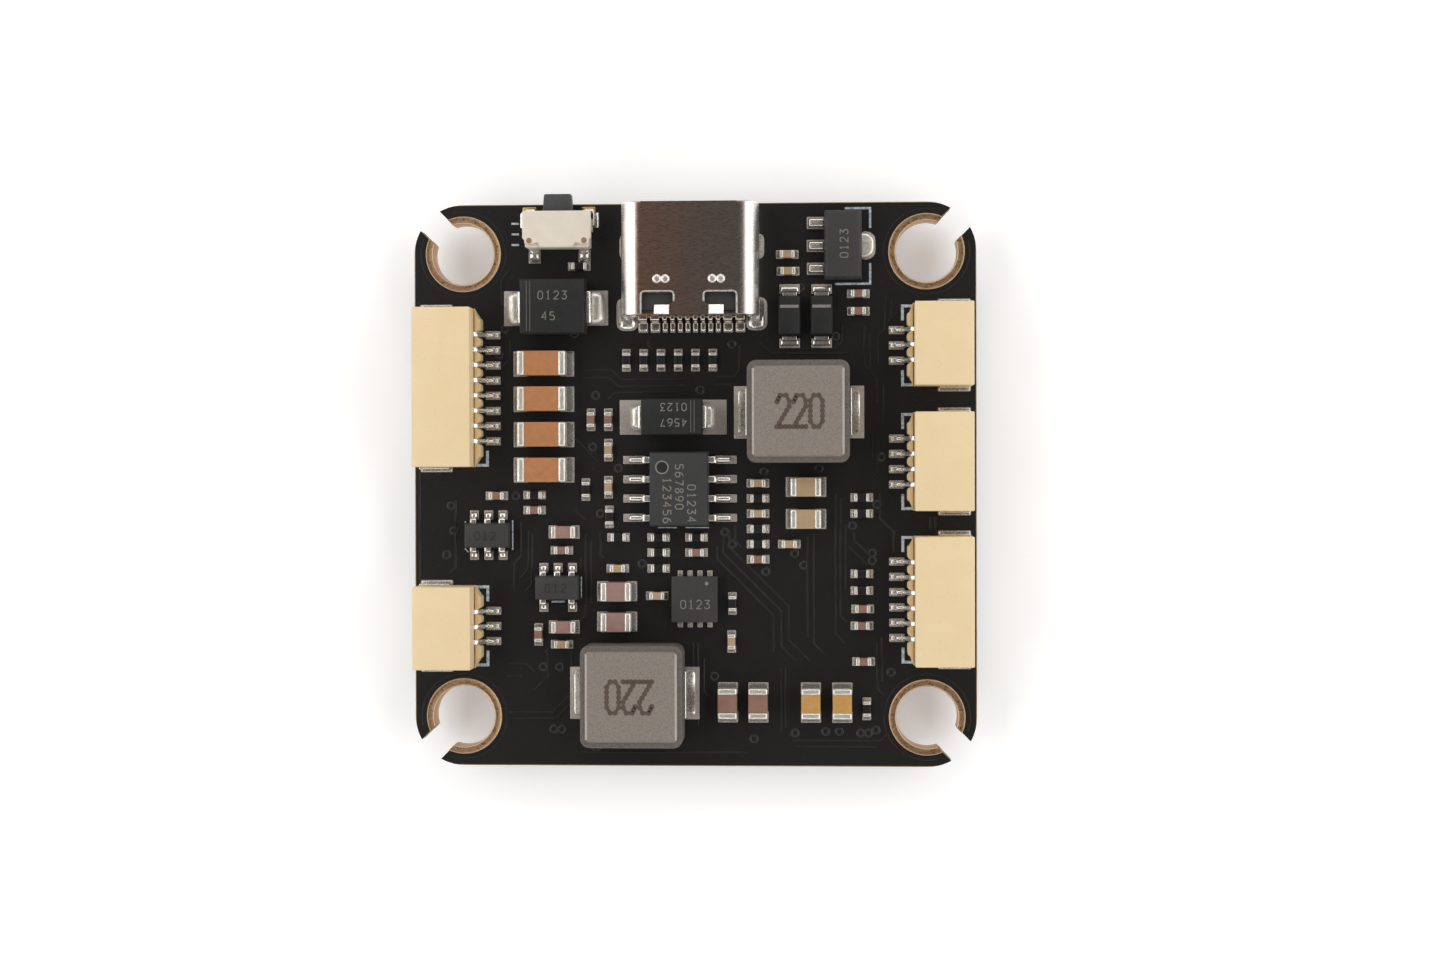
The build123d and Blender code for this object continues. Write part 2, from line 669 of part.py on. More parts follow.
# Buck converter: eight leads, four on each X side.
moulded_package("buck_converter_body", [buck_centre], buck_body, package_stand_off, package_edge)
buck_places = lead_row(buck_centre, buck_body[0] / 2, 4, buck_lead, "x")
bent_leads("buck_converter_leads", buck_places, *buck_lead[2:])

# Load switch: six leads, three on each Y side.
moulded_package("load_switch_body", [load_switch_centre], load_switch_body, package_stand_off, small_package_edge)
switch_places = lead_row(load_switch_centre, load_switch_body[1] / 2, 3, small_lead, "y")
bent_leads("load_switch_leads", switch_places, *small_lead[2:])

# Logic regulator: three leads towards +Y and two towards -Y.
regulator_blocks = ("logic_regulator_body", [logic_regulator_centre], logic_regulator_body)
moulded_package(*regulator_blocks, package_stand_off, small_package_edge)
regulator_places = lead_row(logic_regulator_centre, logic_regulator_body[1] / 2, 3, small_lead, "y")
regulator_places = [
    place for place in regulator_places if place[2] == 90 or place[0] != logic_regulator_centre[0]
]
bent_leads("logic_regulator_leads", regulator_places, *small_lead[2:])

# Main regulator: a power package with three flat leads on one side and a heat tab on the other.
moulded_package("main_regulator_body", [main_regulator_centre], main_regulator_body, 0, package_edge)
with BuildPart() as main_regulator_leads:
    with BuildSketch(Plane.XY.offset(top)):
        lead_x = main_regulator_centre[0] - (main_regulator_body[0] + main_regulator_lead_reach) / 2
        with Locations((lead_x, main_regulator_centre[1])):
            with GridLocations(0, main_regulator_lead_pitch, 1, 3):
                Rectangle(main_regulator_lead_reach, main_regulator_lead_width)
        tab_x = main_regulator_centre[0] + main_regulator_body[0] / 2
        tab_radius = main_regulator_tab_width / 2
        with Locations((tab_x, main_regulator_centre[1])):
            Circle(tab_radius)
            with Locations((-tab_radius, 0)):
                Rectangle(main_regulator_tab_width, 2 * main_regulator_tab_width, mode=Mode.SUBTRACT)
    extrude(amount=main_regulator_lead_thickness)
save(main_regulator_leads, "main_regulator_leads")

# Second converter: a leadless package on eight pads and a large middle pad.
pad_length, pad_width, pad_thickness = converter_pad[1], converter_pad[0], converter_pad[2]
moulded_package("second_converter_body", [converter_centre], converter_body, pad_thickness, leadless_edge)
with BuildPart() as second_converter_pads:
    with BuildSketch(Plane.XY.offset(top)):
        with Locations(converter_centre):
            pad_row = converter_body[1] - pad_length
            with GridLocations(converter_pad_pitch, pad_row, 4, 2):
                Rectangle(pad_width, pad_length)
            middle_length, middle_width = converter_middle_pad_share
            Rectangle(middle_length * converter_body[0], middle_width * converter_body[1])
    extrude(amount=pad_thickness)
save(second_converter_pads, "second_converter_pads")

# Processor: the square package under the board, sixteen leads on each side.
moulded_package("processor_body", [processor_centre], processor_body, package_stand_off, package_edge, -1)
processor_places = lead_row(processor_centre, processor_body[0] / 2, 16, processor_lead, "x")
processor_places += lead_row(processor_centre, processor_body[1] / 2, 16, processor_lead, "y")
bent_leads("processor_leads", processor_places, *processor_lead[2:], -1)

# Overlay chip: the long package under the board that writes flight data over the camera picture.
moulded_package("overlay_chip_body", [overlay_centre], overlay_body, package_stand_off, small_package_edge, -1)
overlay_places = lead_row(overlay_centre, overlay_body[1] / 2, 14, overlay_lead, "y")
bent_leads("overlay_chip_leads", overlay_places, *overlay_lead[2:], -1)

# Leadless chips under the board, each a small block on hidden pads.
moulded_package("motion_sensor", [motion_sensor_centre], motion_sensor_body, 0, leadless_edge, -1)
moulded_package("barometer", [barometer_centre], barometer_body, 0, small_package_edge, -1)
moulded_package("flash_memory", [flash_memory_centre], flash_memory_body, 0, leadless_edge, -1)
moulded_package("crystals", crystal_centres, crystal_body, 0, package_edge, -1)


def chip_bodies(label, sizes, across, upright, lower_across=(), lower_upright=()):
    """The ceramic blocks of chip parts of one size, on the upper face and on the lower face."""
    length, width, height, cap = sizes
    core_length = length - 2 * cap
    core_width = width - 2 * chip_body_inset
    core_height = height - 2 * chip_body_inset
    with BuildPart() as bodies:
        for face_z, up, flat, turned in ((top, 1, across, upright), (0, -1, lower_across, lower_upright)):
            if not (flat or turned):
                continue
            with BuildSketch(Plane.XY.offset(face_z + up * chip_body_inset)):
                if flat:
                    with Locations(*flat):
                        Rectangle(core_length, core_width)
                if turned:
                    with Locations(*turned):
                        Rectangle(core_width, core_length)
            extrude(amount=up * core_height)
    save(bodies, label)


def chip_terminals(label, groups):
    """The metal ends of chip parts: groups of (sizes, face height, direction, across, upright)."""
    with BuildPart() as ends:
        for sizes, face_z, up, across, upright in groups:
            length, width, height, cap = sizes
            with BuildSketch(Plane.XY.offset(face_z)):
                for x, y in across:
                    with Locations((x, y)):
                        with GridLocations(length - cap, 0, 2, 1):
                            Rectangle(cap, width)
                for x, y in upright:
                    with Locations((x, y)):
                        with GridLocations(0, length - cap, 1, 2):
                            Rectangle(width, cap)
            extrude(amount=up * height)
    save(ends, label)


# Chip capacitors, by size, and chip resistors. Their metal ends are two shared groups.
chip_bodies("input_capacitor_bodies", chip_1206, across_1206, [])
chip_bodies("output_capacitor_bodies", chip_0805, across_0805, upright_0805)
chip_bodies("filter_capacitor_bodies", chip_0603, across_0603, [])
lower_0402 = (lower_across_0402, lower_upright_0402)
chip_bodies("small_capacitor_bodies", chip_0402, across_0402, upright_0402, *lower_0402)
chip_bodies("resistor_bodies", resistor_0402, across_resistors, upright_resistors)
capacitor_groups = [
    (chip_1206, top, 1, across_1206, []),
    (chip_0805, top, 1, across_0805, upright_0805),
    (chip_0603, top, 1, across_0603, []),
    (chip_0402, top, 1, across_0402, upright_0402),
    (chip_0402, 0, -1, lower_across_0402, lower_upright_0402),
]
chip_terminals("capacitor_terminals", capacitor_groups)
chip_terminals("resistor_terminals", [(resistor_0402, top, 1, across_resistors, upright_resistors)])
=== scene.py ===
import random
from math import cos, pi, radians, sin

import bmesh
import bpy
from mathutils import Matrix, Vector


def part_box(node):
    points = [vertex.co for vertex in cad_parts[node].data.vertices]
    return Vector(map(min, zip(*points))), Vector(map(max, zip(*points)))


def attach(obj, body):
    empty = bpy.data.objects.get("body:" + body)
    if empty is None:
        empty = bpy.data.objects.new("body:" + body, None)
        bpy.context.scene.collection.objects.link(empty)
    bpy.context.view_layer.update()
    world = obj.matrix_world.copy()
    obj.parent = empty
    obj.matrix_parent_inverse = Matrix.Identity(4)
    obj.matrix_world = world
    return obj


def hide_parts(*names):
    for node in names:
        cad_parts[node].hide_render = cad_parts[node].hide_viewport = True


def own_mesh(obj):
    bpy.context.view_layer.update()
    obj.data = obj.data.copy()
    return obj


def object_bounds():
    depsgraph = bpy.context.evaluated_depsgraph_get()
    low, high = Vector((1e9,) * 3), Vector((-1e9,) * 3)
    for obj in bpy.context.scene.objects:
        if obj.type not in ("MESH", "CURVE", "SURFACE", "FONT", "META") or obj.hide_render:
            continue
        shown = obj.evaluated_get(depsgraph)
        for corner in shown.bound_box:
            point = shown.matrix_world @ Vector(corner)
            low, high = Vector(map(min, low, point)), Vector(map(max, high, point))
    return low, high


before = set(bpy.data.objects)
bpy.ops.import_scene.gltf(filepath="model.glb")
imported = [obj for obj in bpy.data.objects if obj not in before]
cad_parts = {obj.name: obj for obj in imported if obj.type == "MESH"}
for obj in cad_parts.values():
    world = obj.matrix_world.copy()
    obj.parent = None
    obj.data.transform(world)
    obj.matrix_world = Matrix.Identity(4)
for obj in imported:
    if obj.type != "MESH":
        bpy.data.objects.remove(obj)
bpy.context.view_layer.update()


# Circuit board: glass-fibre laminate pressed between copper foils and printed with a dark solder
# mask on both faces. It was routed out of its panel, so edges and slots show the yellow laminate.
class Signal:
    """One value, colour or vector in a finish. Sums and products of values add Math nodes."""

    def __init__(self, finish, socket):
        self.finish = finish
        self.socket = socket

    def math(self, operation, first, second):
        return self.finish.add("ShaderNodeMath", {"operation": operation}, {0: first, 1: second})

    def __add__(self, other):
        return self.math("ADD", self, other)

    def __radd__(self, other):
        return self.math("ADD", other, self)

    def __sub__(self, other):
        return self.math("SUBTRACT", self, other)

    def __rsub__(self, other):
        return self.math("SUBTRACT", other, self)

    def __mul__(self, other):
        return self.math("MULTIPLY", self, other)

    def __rmul__(self, other):
        return self.math("MULTIPLY", other, self)


class Finish:
    """A material, with the nodes that work out how its surface varies. Its lengths are millimetres."""

    def __init__(self, name, **constants):
        self.material = bpy.data.materials.new(name)
        self.material.use_nodes = True
        self.nodes = self.material.node_tree.nodes
        self.links = self.material.node_tree.links
        self.surface = self.nodes["Principled BSDF"]
        metres = self.add("ShaderNodeTexCoord", {}, {}, "Object")
        self.place = self.add("ShaderNodeVectorMath", {"operation": "SCALE"}, {0: metres, "Scale": 1000.0})
        self.relief = None
        self.set(**constants)

    def join(self, socket, value):
        """Gives a socket a link from a signal, or a value of its own."""
        if isinstance(value, Signal):
            self.links.new(value.socket, socket)
        elif socket.type == "RGBA" and len(value) == 3:
            socket.default_value = (*value, 1.0)
        else:
            socket.default_value = value

    def add(self, kind, settings, inputs, output=0):
        """Adds a node: its kind, its settings, then its sockets by name or by place."""
        node = self.nodes.new(kind)
        for name, value in settings.items():
            setattr(node, name, value)
        for key, value in inputs.items():
            if isinstance(key, int):
                socket = [s for s in node.inputs if s.enabled][key]
            else:
                socket = node.inputs[key]
            self.join(socket, value)
        outputs = [s for s in node.outputs if s.enabled]
        return Signal(self, outputs[0] if output == 0 else node.outputs[output])

    def set(self, **values):
        """Sets sockets of the surface by name, with _ for a space."""
        for name, value in values.items():
            self.join(self.surface.inputs[name.replace("_", " ")], value)
        return self

    def noise(self, scale, detail=2.0, distortion=0.0, stretch=None):
        """Cloudy values from 0 to 1, with about scale clouds to a millimetre."""
        place = self.place
        if stretch:
            place = self.add("ShaderNodeVectorMath", {"operation": "MULTIPLY"}, {0: place, 1: stretch})
        sockets = {"Vector": place, "Scale": scale, "Detail": detail, "Distortion": distortion}
        return self.add("ShaderNodeTexNoise", {}, sockets)

    def grains(self, scale, output="Distance"):
        """Cells of about one grain each: the distance to a grain's middle, or a colour per grain."""
        return self.add("ShaderNodeTexVoronoi", {}, {"Vector": self.place, "Scale": scale}, output)

    def fade(self, value, low, high, low_result=0.0, high_result=1.0):
        """Turns values between low and high into a smooth step."""
        ends = {"From Min": low, "From Max": high, "To Min": low_result, "To Max": high_result}
        settings = {"interpolation_type": "SMOOTHSTEP"}
        return self.add("ShaderNodeMapRange", settings, {"Value": value, **ends})

    def mix(self, share, first, second):
        """A colour between two colours."""
        settings = {"data_type": "RGBA"}
        return self.add("ShaderNodeMix", settings, {0: share, 1: first, 2: second})

    def bump(self, height, depth, strength=1.0):
        """Raises the surface by height times depth millimetres, on top of earlier relief."""
        inputs = {"Height": height, "Distance": depth / 1000, "Strength": strength}
        if self.relief:
            inputs["Normal"] = self.relief
        self.relief = self.add("ShaderNodeBump", {}, inputs)
        self.set(Normal=self.relief)
        return self


def tint(red, green, blue):
    """A colour as a screen shows it, 0 to 255, turned into light."""
    return tuple((c / 255 / 12.92 if c < 11 else ((c / 255 + 0.055) / 1.055) ** 2.4)
                 for c in (red, green, blue))


def mask_finish(name, darkest=(20, 19, 18), lightest=(28, 26, 25)):
    """Printed solder mask: almost black, a little uneven, with the weave of the glass below it."""
    finish = Finish(name, Roughness=0.38, Specular_IOR_Level=0.4)
    clouds = finish.noise(0.35, 3.0)
    dust = finish.fade(finish.noise(9.0, 1.0), 0.74, 0.8)
    dark = finish.mix(clouds, tint(*darkest), tint(*lightest))
    finish.set(Base_Color=finish.mix(dust * 0.5, dark, tint(74, 68, 62)))
    finish.set(Roughness=finish.fade(finish.noise(1.3, 3.0), 0.3, 0.7, 0.3, 0.46))
    weave = finish.noise(1.0, 1.0, 0.0, (1.6, 9.0, 1.0)) + finish.noise(1.0, 1.0, 0.0, (9.0, 1.6, 1.0))
    finish.bump(weave, 0.006)
    return finish.bump(finish.noise(22.0, 2.0), 0.003)


# Mask over the tracks, vias and hole arcs, a little lighter than the bare mask: a painted highlight for the
# light their ridges catch.
highlit_track_mask = mask_finish("mask_over_tracks_painted_highlight", (30, 29, 28), (42, 40, 38))
edge_of_mask = mask_finish("board_faces_and_edges")
upward = edge_of_mask.add("ShaderNodeNewGeometry", {}, {}, "Normal")
board_split = edge_of_mask.add("ShaderNodeSeparateXYZ", {}, {"Vector": upward}, "Z")
on_side = edge_of_mask.fade(board_split * board_split, 0.3, 0.5, 1.0, 0.0)
side_layers = edge_of_mask.noise(1.0, 3.0, 0.0, (1.5, 1.5, 16.0))
side_yellow = edge_of_mask.mix(side_layers, tint(92, 74, 42), tint(160, 138, 88))
mask_colour = Signal(edge_of_mask, edge_of_mask.surface.inputs["Base Color"].links[0].from_socket)
place_x = edge_of_mask.add("ShaderNodeSeparateXYZ", {}, {"Vector": edge_of_mask.place}, "X")
place_y = edge_of_mask.add("ShaderNodeSeparateXYZ", {}, {"Vector": edge_of_mask.place}, "Y")
square_x, square_y = place_x * place_x, place_y * place_y
board_half = 18.5
bare_border = 0.045
slot_middle = 15.25
slot_half_width = 0.9
border_start = (board_half - bare_border - 0.02) ** 2
border_end = (board_half - bare_border) ** 2
near_x_edge = edge_of_mask.fade(square_x, border_start, border_end)
near_y_edge = edge_of_mask.fade(square_y, border_start, border_end)
skew = square_x - square_y
slot_reach = 2 * 2 ** 0.5 * slot_middle * (slot_half_width + bare_border) * 1.06
in_slot_edge = edge_of_mask.fade(skew * skew, slot_reach ** 2, (slot_reach * 1.02) ** 2, 1.0, 0.0)
corner_start = 2 * (slot_middle + 1.5) ** 2
corner_end = 2 * (slot_middle + 1.6) ** 2
in_corner = edge_of_mask.fade(square_x + square_y, corner_start, corner_end)
bare = near_x_edge + near_y_edge + in_slot_edge * in_corner + on_side
edge_of_mask.set(Base_Color=edge_of_mask.mix(bare, mask_colour, side_yellow))
edge_of_mask.set(Roughness=edge_of_mask.fade(bare, 0.0, 1.0, 0.38, 0.66))

board_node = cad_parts["circuit_board"]
board_node.data.materials.clear()
board_node.data.materials.append(edge_of_mask.material)
board_low, board_high = (corner * 1000 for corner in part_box("circuit_board"))
board_top = board_high.z


# Tracks and filled holes: etched copper under the mask, so they show as low ridges and dimples in it, laid in
# a slightly lighter mask tone that is a painted highlight on the ridges. They run between the chips and out
# to the sockets on both faces.
def outline(x0, y0, x1, y1, radius, steps=3):
    """A rectangle's outline with rounded corners: one radius, or one for each corner from (x1, y0) on."""
    radii = radius if isinstance(radius, tuple) else (radius,) * 4
    widest = min(x1 - x0, y1 - y0) / 2
    signs = ((1, -1), (1, 1), (-1, 1), (-1, -1))
    points = []
    for number, ((along_x, along_y), r) in enumerate(zip(signs, radii)):
        r = max(min(r, widest), 0.002)
        middle_x = (x1 - r) if along_x > 0 else (x0 + r)
        middle_y = (y1 - r) if along_y > 0 else (y0 + r)
        for i in range(steps + 1):
            angle = radians(-90 + 90 * number + 90 * i / steps)
            points.append((middle_x + r * cos(angle), middle_y + r * sin(angle)))
    return points


def bend(path, radius, steps=4):
    """A path with its corners rounded off."""
    rounded_path = [path[0]]
    for before, corner, after in zip(path, path[1:], path[2:]):
        back, on = before - corner, after - corner
        reach = min(radius, back.length * 0.49, on.length * 0.49)
        start, end = corner + back.normalized() * reach, corner + on.normalized() * reach
        for i in range(steps + 1):
            t = i / steps
            rounded_path.append(start * (1 - t) ** 2 + corner * (2 * t * (1 - t)) + end * t * t)
    return rounded_path + [path[-1]]


class Shape:
    """The surface of one piece while it is put together, in millimetres."""

    def __init__(self):
        self.points = []
        self.faces = []
        self.face_finishes = []

    def face(self, corners, finish):
        self.faces.append(corners)
        self.face_finishes.append(finish)

    def loft(self, rings, finish=0, closed=False):
        """Joins equal rings of points one after the other, and closes both ends."""
        start, count = len(self.points), len(rings[0])
        for ring in rings:
            self.points.extend(tuple(point) for point in ring)
        for i in range(len(rings) if closed else len(rings) - 1):
            near, far = start + i * count, start + (i + 1) % len(rings) * count
            for j in range(count):
                k = (j + 1) % count
                self.face([near + j, near + k, far + k, far + j], finish)
        if not closed:
            self.face([start + j for j in reversed(range(count))], finish)
            self.face([start + (len(rings) - 1) * count + j for j in range(count)], finish)

    def stack(self, low, high, levels, corner, up=1, finish=0, steps=3):
        """Rounded outlines of a box one above the other. A level is a height and an inset."""
        base = low[2] if up > 0 else high[2]
        radii = corner if isinstance(corner, tuple) else (corner,) * 4
        rings = []
        for height, inset in levels:
            plan = outline(low[0] + inset, low[1] + inset, high[0] - inset, high[1] - inset,
                           tuple(max(r - inset, 0.004) for r in radii), steps)
            rings.append([(x, y, base + up * height) for x, y in plan])
        self.loft(rings, finish)

    def sweep(self, path, fixed, profile, finish=0, closed=False):
        """Carries a profile along a path. Its second axis is fixed, and its first turns with the path."""
        rings = []
        for i, point in enumerate(path):
            ways = []
            if i > 0 or closed:
                ways.append((point - path[i - 1]).normalized())
            if i < len(path) - 1 or closed:
                ways.append((path[(i + 1) % len(path)] - point).normalized())
            side = fixed.cross(sum(ways, Vector((0, 0, 0)))).normalized()
            mitre = 1 / max(0.4, side.dot(fixed.cross(ways[0]).normalized()))
            rings.append([point + side * (a * mitre) + fixed * b for a, b in profile])
        self.loft(rings, finish, closed)

    def make(self, name, slot, finishes, replaced=(), body="board", smooth_below=40):
        """Turns the shape into an object on a CAD body."""
        mesh = bpy.data.meshes.new(name)
        mesh.from_pydata([[c / 1000 for c in point] for point in self.points], [], self.faces)
        for finish in finishes:
            mesh.materials.append(finish.material)
        mesh.polygons.foreach_set("material_index", self.face_finishes)
        mesh.polygons.foreach_set("use_smooth", [True] * len(self.faces))
        solid = bmesh.new()
        solid.from_mesh(mesh)
        bmesh.ops.recalc_face_normals(solid, faces=solid.faces)
        solid.to_mesh(mesh)
        solid.free()
        mesh.set_sharp_from_angle(angle=radians(smooth_below))
        made = bpy.data.objects.new(name, mesh)
        bpy.context.scene.collection.objects.link(made)
        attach(made, body)
        if replaced:
            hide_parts(*replaced)
        return made


up_axis = Vector((0, 0, 1))
track_height = 0.045
track_slope = 0.05
track_width = 0.17


def ridge(width, height, slope):
    """The cross-section of a low ridge that stands on the board."""
    return [(-width / 2, -0.01), (-width / 2 + slope, height), (width / 2 - slope, height),
            (width / 2, -0.01)]


def lay_track(shape, points, face_z, up):
    path = [Vector((x, y, face_z)) for x, y in points]
    profile = [(a, up * b) for a, b in ridge(track_width, track_height, track_slope)]
    shape.sweep(path, up_axis, profile)


def circle(x, y, z, radius, count=20):
    return [Vector((x + radius * cos(2 * pi * i / count), y + radius * sin(2 * pi * i / count), z))
            for i in range(count)]


def via(shape, x, y, face_z, up):
    """A plated hole under the mask: a low ring round a dimple."""
    profile = [(-0.08, -up * 0.01), (-0.03, up * 0.03), (0.02, up * 0.03), (0.07, up * 0.004),
               (0.08, -up * 0.01)]
    shape.sweep(circle(x, y, face_z, 0.23), up_axis, profile, closed=True)


upper_tracks = [
    [(1.5, -4.0), (1.5, -4.9), (5.2, -8.6), (5.2, -11.0)],
    [(1.9, -3.4), (1.9, -4.5), (5.7, -8.3), (5.7, -10.6), (6.7, -11.6)],
    [(2.3, -3.0), (2.3, -4.1), (6.2, -8.0), (6.2, -10.2), (7.6, -11.6)],
    [(2.7, -2.6), (2.7, -3.7), (3.1, -4.1)],
    [(-0.6, 6.5), (-5.0, 6.5), (-5.6, 7.1), (-7.3, 7.1)],
    [(-0.6, 6.95), (-4.8, 6.95), (-5.4, 7.55), (-7.3, 7.55)],
    [(-1.0, 6.1), (-5.2, 6.1), (-5.7, 5.6)],
    [(1.4, 6.6), (3.0, 6.6)], [(1.4, 7.1), (2.6, 7.1), (3.0, 7.5), (3.0, 9.2)],
    [(9.3, -0.6), (9.3, -9.8), (9.9, -10.4)], [(9.6, -0.9), (9.6, -8.6), (10.1, -9.1)],
    [(9.95, -2.6), (9.95, -6.9)], [(7.85, -3.2), (7.85, -10.4), (8.6, -11.2)],
    [(7.45, -3.4), (7.45, -10.0)], [(10.5, -3.1), (10.5, -3.6), (11.7, -4.8)],
    [(10.1, -4.0), (11.4, -5.3)], [(12.2, -0.6), (12.2, -2.2), (13.1, -3.1), (13.1, -4.4)],
    [(12.0, 3.0), (12.0, 0.8), (11.6, 0.4)], [(11.7, 3.4), (11.7, 1.6)],
    [(12.4, 6.6), (12.4, 3.9)], [(11.55, 9.9), (11.55, 7.4), (12.0, 6.95), (12.0, 5.4)],
    [(11.2, 10.4), (11.2, 7.8), (11.6, 7.4)], [(12.55, 12.3), (12.55, 10.2), (12.1, 9.75), (12.1, 7.9)],
    [(12.95, 12.1), (12.95, 10.9), (12.75, 10.7)], [(9.7, 10.4), (9.7, 9.4), (9.2, 8.9), (6.0, 8.9)],
    [(4.3, 9.4), (5.1, 8.6), (10.1, 8.6)],
    [(-18.2, 12.2), (-18.2, -11.9)], [(-12.2, 9.6), (-12.2, 8.4), (-12.75, 7.85)],
    [(-12.1, 14.2), (-12.7, 13.6), (-12.7, 11.9)],
    [(-10.75, -3.2), (-10.75, -6.6), (-11.2, -7.05)], [(-11.0, -3.0), (-11.0, -5.6), (-11.5, -6.1)],
    [(-11.5, -2.4), (-11.5, -4.7), (-11.9, -5.1), (-11.9, -7.2)],
    [(-7.2, -3.2), (-7.2, -8.6), (-7.7, -9.1)], [(-6.85, -3.6), (-6.85, -7.8)], [(-7.5, -4.8), (-7.5, -5.4)],
    [(-6.2, -3.1), (-6.2, -4.6), (-5.9, -4.9)], [(-7.9, 3.1), (-6.3, 1.5)], [(-7.9, -1.6), (-7.2, -2.3)],
    [(-9.7, -10.8), (-9.7, -12.6), (-10.6, -13.5)], [(-8.1, -10.9), (-8.1, -12.5)],
    [(-8.0, -13.6), (-9.4, -15.0), (-12.3, -15.0)], [(-8.2, -14.4), (-9.2, -15.4), (-12.0, -15.4)],
    [(-12.4, -11.8), (-11.1, -11.8), (-10.6, -12.3)], [(-12.4, -12.6), (-11.4, -12.6)],
    [(0.6, -11.4), (0.6, -13.6), (0.9, -13.9)], [(-0.1, -10.4), (-0.1, -12.2)], [(0.2, -10.4), (0.2, -15.8)],
    [(6.6, -17.2), (12.0, -17.2)], [(6.4, -16.8), (12.2, -16.8), (12.9, -16.1)],
    [(-7.6, -17.6), (3.6, -17.6)], [(5.7, -12.0), (5.7, -16.2)], [(5.95, -12.0), (5.95, -16.0)],
    [(12.0, -10.4), (12.0, -13.4), (12.4, -13.8)], [(12.3, -10.0), (12.3, -12.9)],
    [(-3.0, 9.5), (-3.0, 9.2), (-2.7, 8.9)], [(15.5, -2.1), (15.5, -2.9)], [(15.8, -2.1), (15.8, -2.9)],
    [(14.4, 5.5), (16.0, 5.5)], [(-15.8, -1.0), (-15.8, -5.4), (-16.3, -5.9)],
]
upper_vias = [
    (2.5, 9.25), (-11.8, -0.7), (-16.1, -1.35), (-15.9, -3.0), (-3.45, -5.2), (-10.0, -12.0), (-8.9, -12.0),
    (-9.3, -16.1), (-8.75, -16.1), (6.6, -16.3), (8.6, -16.2), (9.5, -16.2), (10.9, -16.3), (11.4, -16.3),
    (11.9, -16.1), (-6.5, 5.9), (-6.7, 2.5), (-6.2, -1.9), (-5.0, 1.1), (2.0, -3.1), (2.5, -3.9), (4.7, -5.7),
    (10.4, -2.7), (11.7, -4.5), (11.7, -5.0), (12.0, -1.3), (12.3, 1.8), (7.2, -5.3), (6.6, -4.5), (4.6, 0.9),
    (8.2, 1.1), (-12.9, 8.6), (-12.6, -1.9), (-16.4, -4.6), (3.9, -16.7), (-7.9, 10.0), (-12.5, 10.3),
    (0.4, 6.2),
    (12.9, -12.3), (7.0, 12.9), (9.3, 9.7), (-7.0, -12.0), (1.3, -12.6), (-6.5, -17.3),
]
upper_shape = Shape()
for track in upper_tracks:
    lay_track(upper_shape, track, board_top, 1)
for via_x, via_y in upper_vias:
    via(upper_shape, via_x, via_y, board_top, 1)

lower_shape = Shape()
for quarter in range(4):
    turn = radians(90 * quarter)
    for number in range(7):
        spread = (number - 3) * 0.85
        start_x, bend_x, end_x = 6.15, 7.0 + abs(spread) * 0.35, 10.4 + 0.5 * (number % 3)
        points = [(start_x, spread * 0.6), (bend_x, spread * 0.6), (bend_x + 0.8, spread), (end_x, spread)]
        turned = [(x * cos(turn) - y * sin(turn), x * sin(turn) + y * cos(turn)) for x, y in points]
        lay_track(lower_shape, turned, board_low.z, -1)
        via(lower_shape, turned[-1][0], turned[-1][1], board_low.z, -1)
for number in range(10):
    row_y = -6.8 + 1.4 * number
    lay_track(lower_shape, [(-16.6, row_y), (-13.9, row_y)], board_low.z, -1)
    lay_track(lower_shape, [(14.2, row_y), (16.9, row_y)], board_low.z, -1)

upper_shape.make("upper_tracks", "board_laminate", [highlit_track_mask])
lower_shape.make("lower_tracks", "board_laminate", [highlit_track_mask])


# Printed marks: thin pale epoxy ink screened over the mask, as corner brackets at the sockets and
# outlines round the chips. Words and codes are left off.
ink = Finish("marking_ink", Roughness=0.6)
worn_ink = ink.fade(ink.noise(5.0, 3.0), 0.3, 0.6)
ink.set(Base_Color=ink.mix(worn_ink, tint(128, 140, 148), tint(186, 196, 202)))
ink.bump(ink.noise(14.0, 2.0), 0.01)
ink_height = 0.02
ink_width = 0.2


def solids(node):
    """The separate solids of a CAD node, as (lowest corner, highest corner), in millimetres."""
    solid = bmesh.new()
    solid.from_mesh(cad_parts[node].data)
    bmesh.ops.remove_doubles(solid, verts=solid.verts, dist=1e-6)
    left, boxes = set(solid.verts), []
    for first in solid.verts:
        if first not in left:
            continue
        left.discard(first)
        waiting, found = [first], []
        while waiting:
            vertex = waiting.pop()
            found.append(vertex.co * 1000)
            for edge in vertex.link_edges:
                other = edge.other_vert(vertex)
                if other in left:
                    left.discard(other)
                    waiting.append(other)
        low = Vector([min(co[axis] for co in found) for axis in range(3)])
        high = Vector([max(co[axis] for co in found) for axis in range(3)])
        boxes.append((low, high))
    solid.free()
    return boxes


marks = Shape()


def draw_line(shape, points, face_z, width=ink_width, height=ink_height, finish=0):
    path = [Vector((x, y, face_z)) for x, y in points]
    shape.sweep(path, up_axis, ridge(width, height, height * 0.6), finish)


socket_names = ["motor_socket", "sensor_socket", "light_socket", "receiver_socket", "video_socket"]
for socket_name in socket_names:
    low, high = (corner * 1000 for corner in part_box(f"{socket_name}_housing"))
    side = 1 if low.x > 0 else -1
    back_x = low.x if side > 0 else high.x
    mark_x = back_x - side * 0.27
    for end_y, inward in ((low.y, 1), (high.y, -1)):
        if socket_name == "motor_socket" and inward < 0:
            continue
        corner_y = end_y + inward * 0.12
        bracket = [(mark_x + side * 0.75, corner_y), (mark_x, corner_y), (mark_x, corner_y + inward * 0.95)]
        draw_line(marks, bracket, board_top)
low, high = (corner * 1000 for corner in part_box("main_regulator_body"))
draw_line(marks, [(low.x + 0.7, low.y - 0.25), (high.x + 0.55, low.y - 0.25),
                  (high.x + 0.55, low.y + 1.1)], board_top, 0.16)
draw_line(marks, [(high.x - 1.1, high.y + 0.2), (high.x + 0.55, high.y + 0.2),
                  (high.x + 0.55, high.y - 1.1)], board_top, 0.16)
low, high = (corner * 1000 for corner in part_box("load_switch_body"))
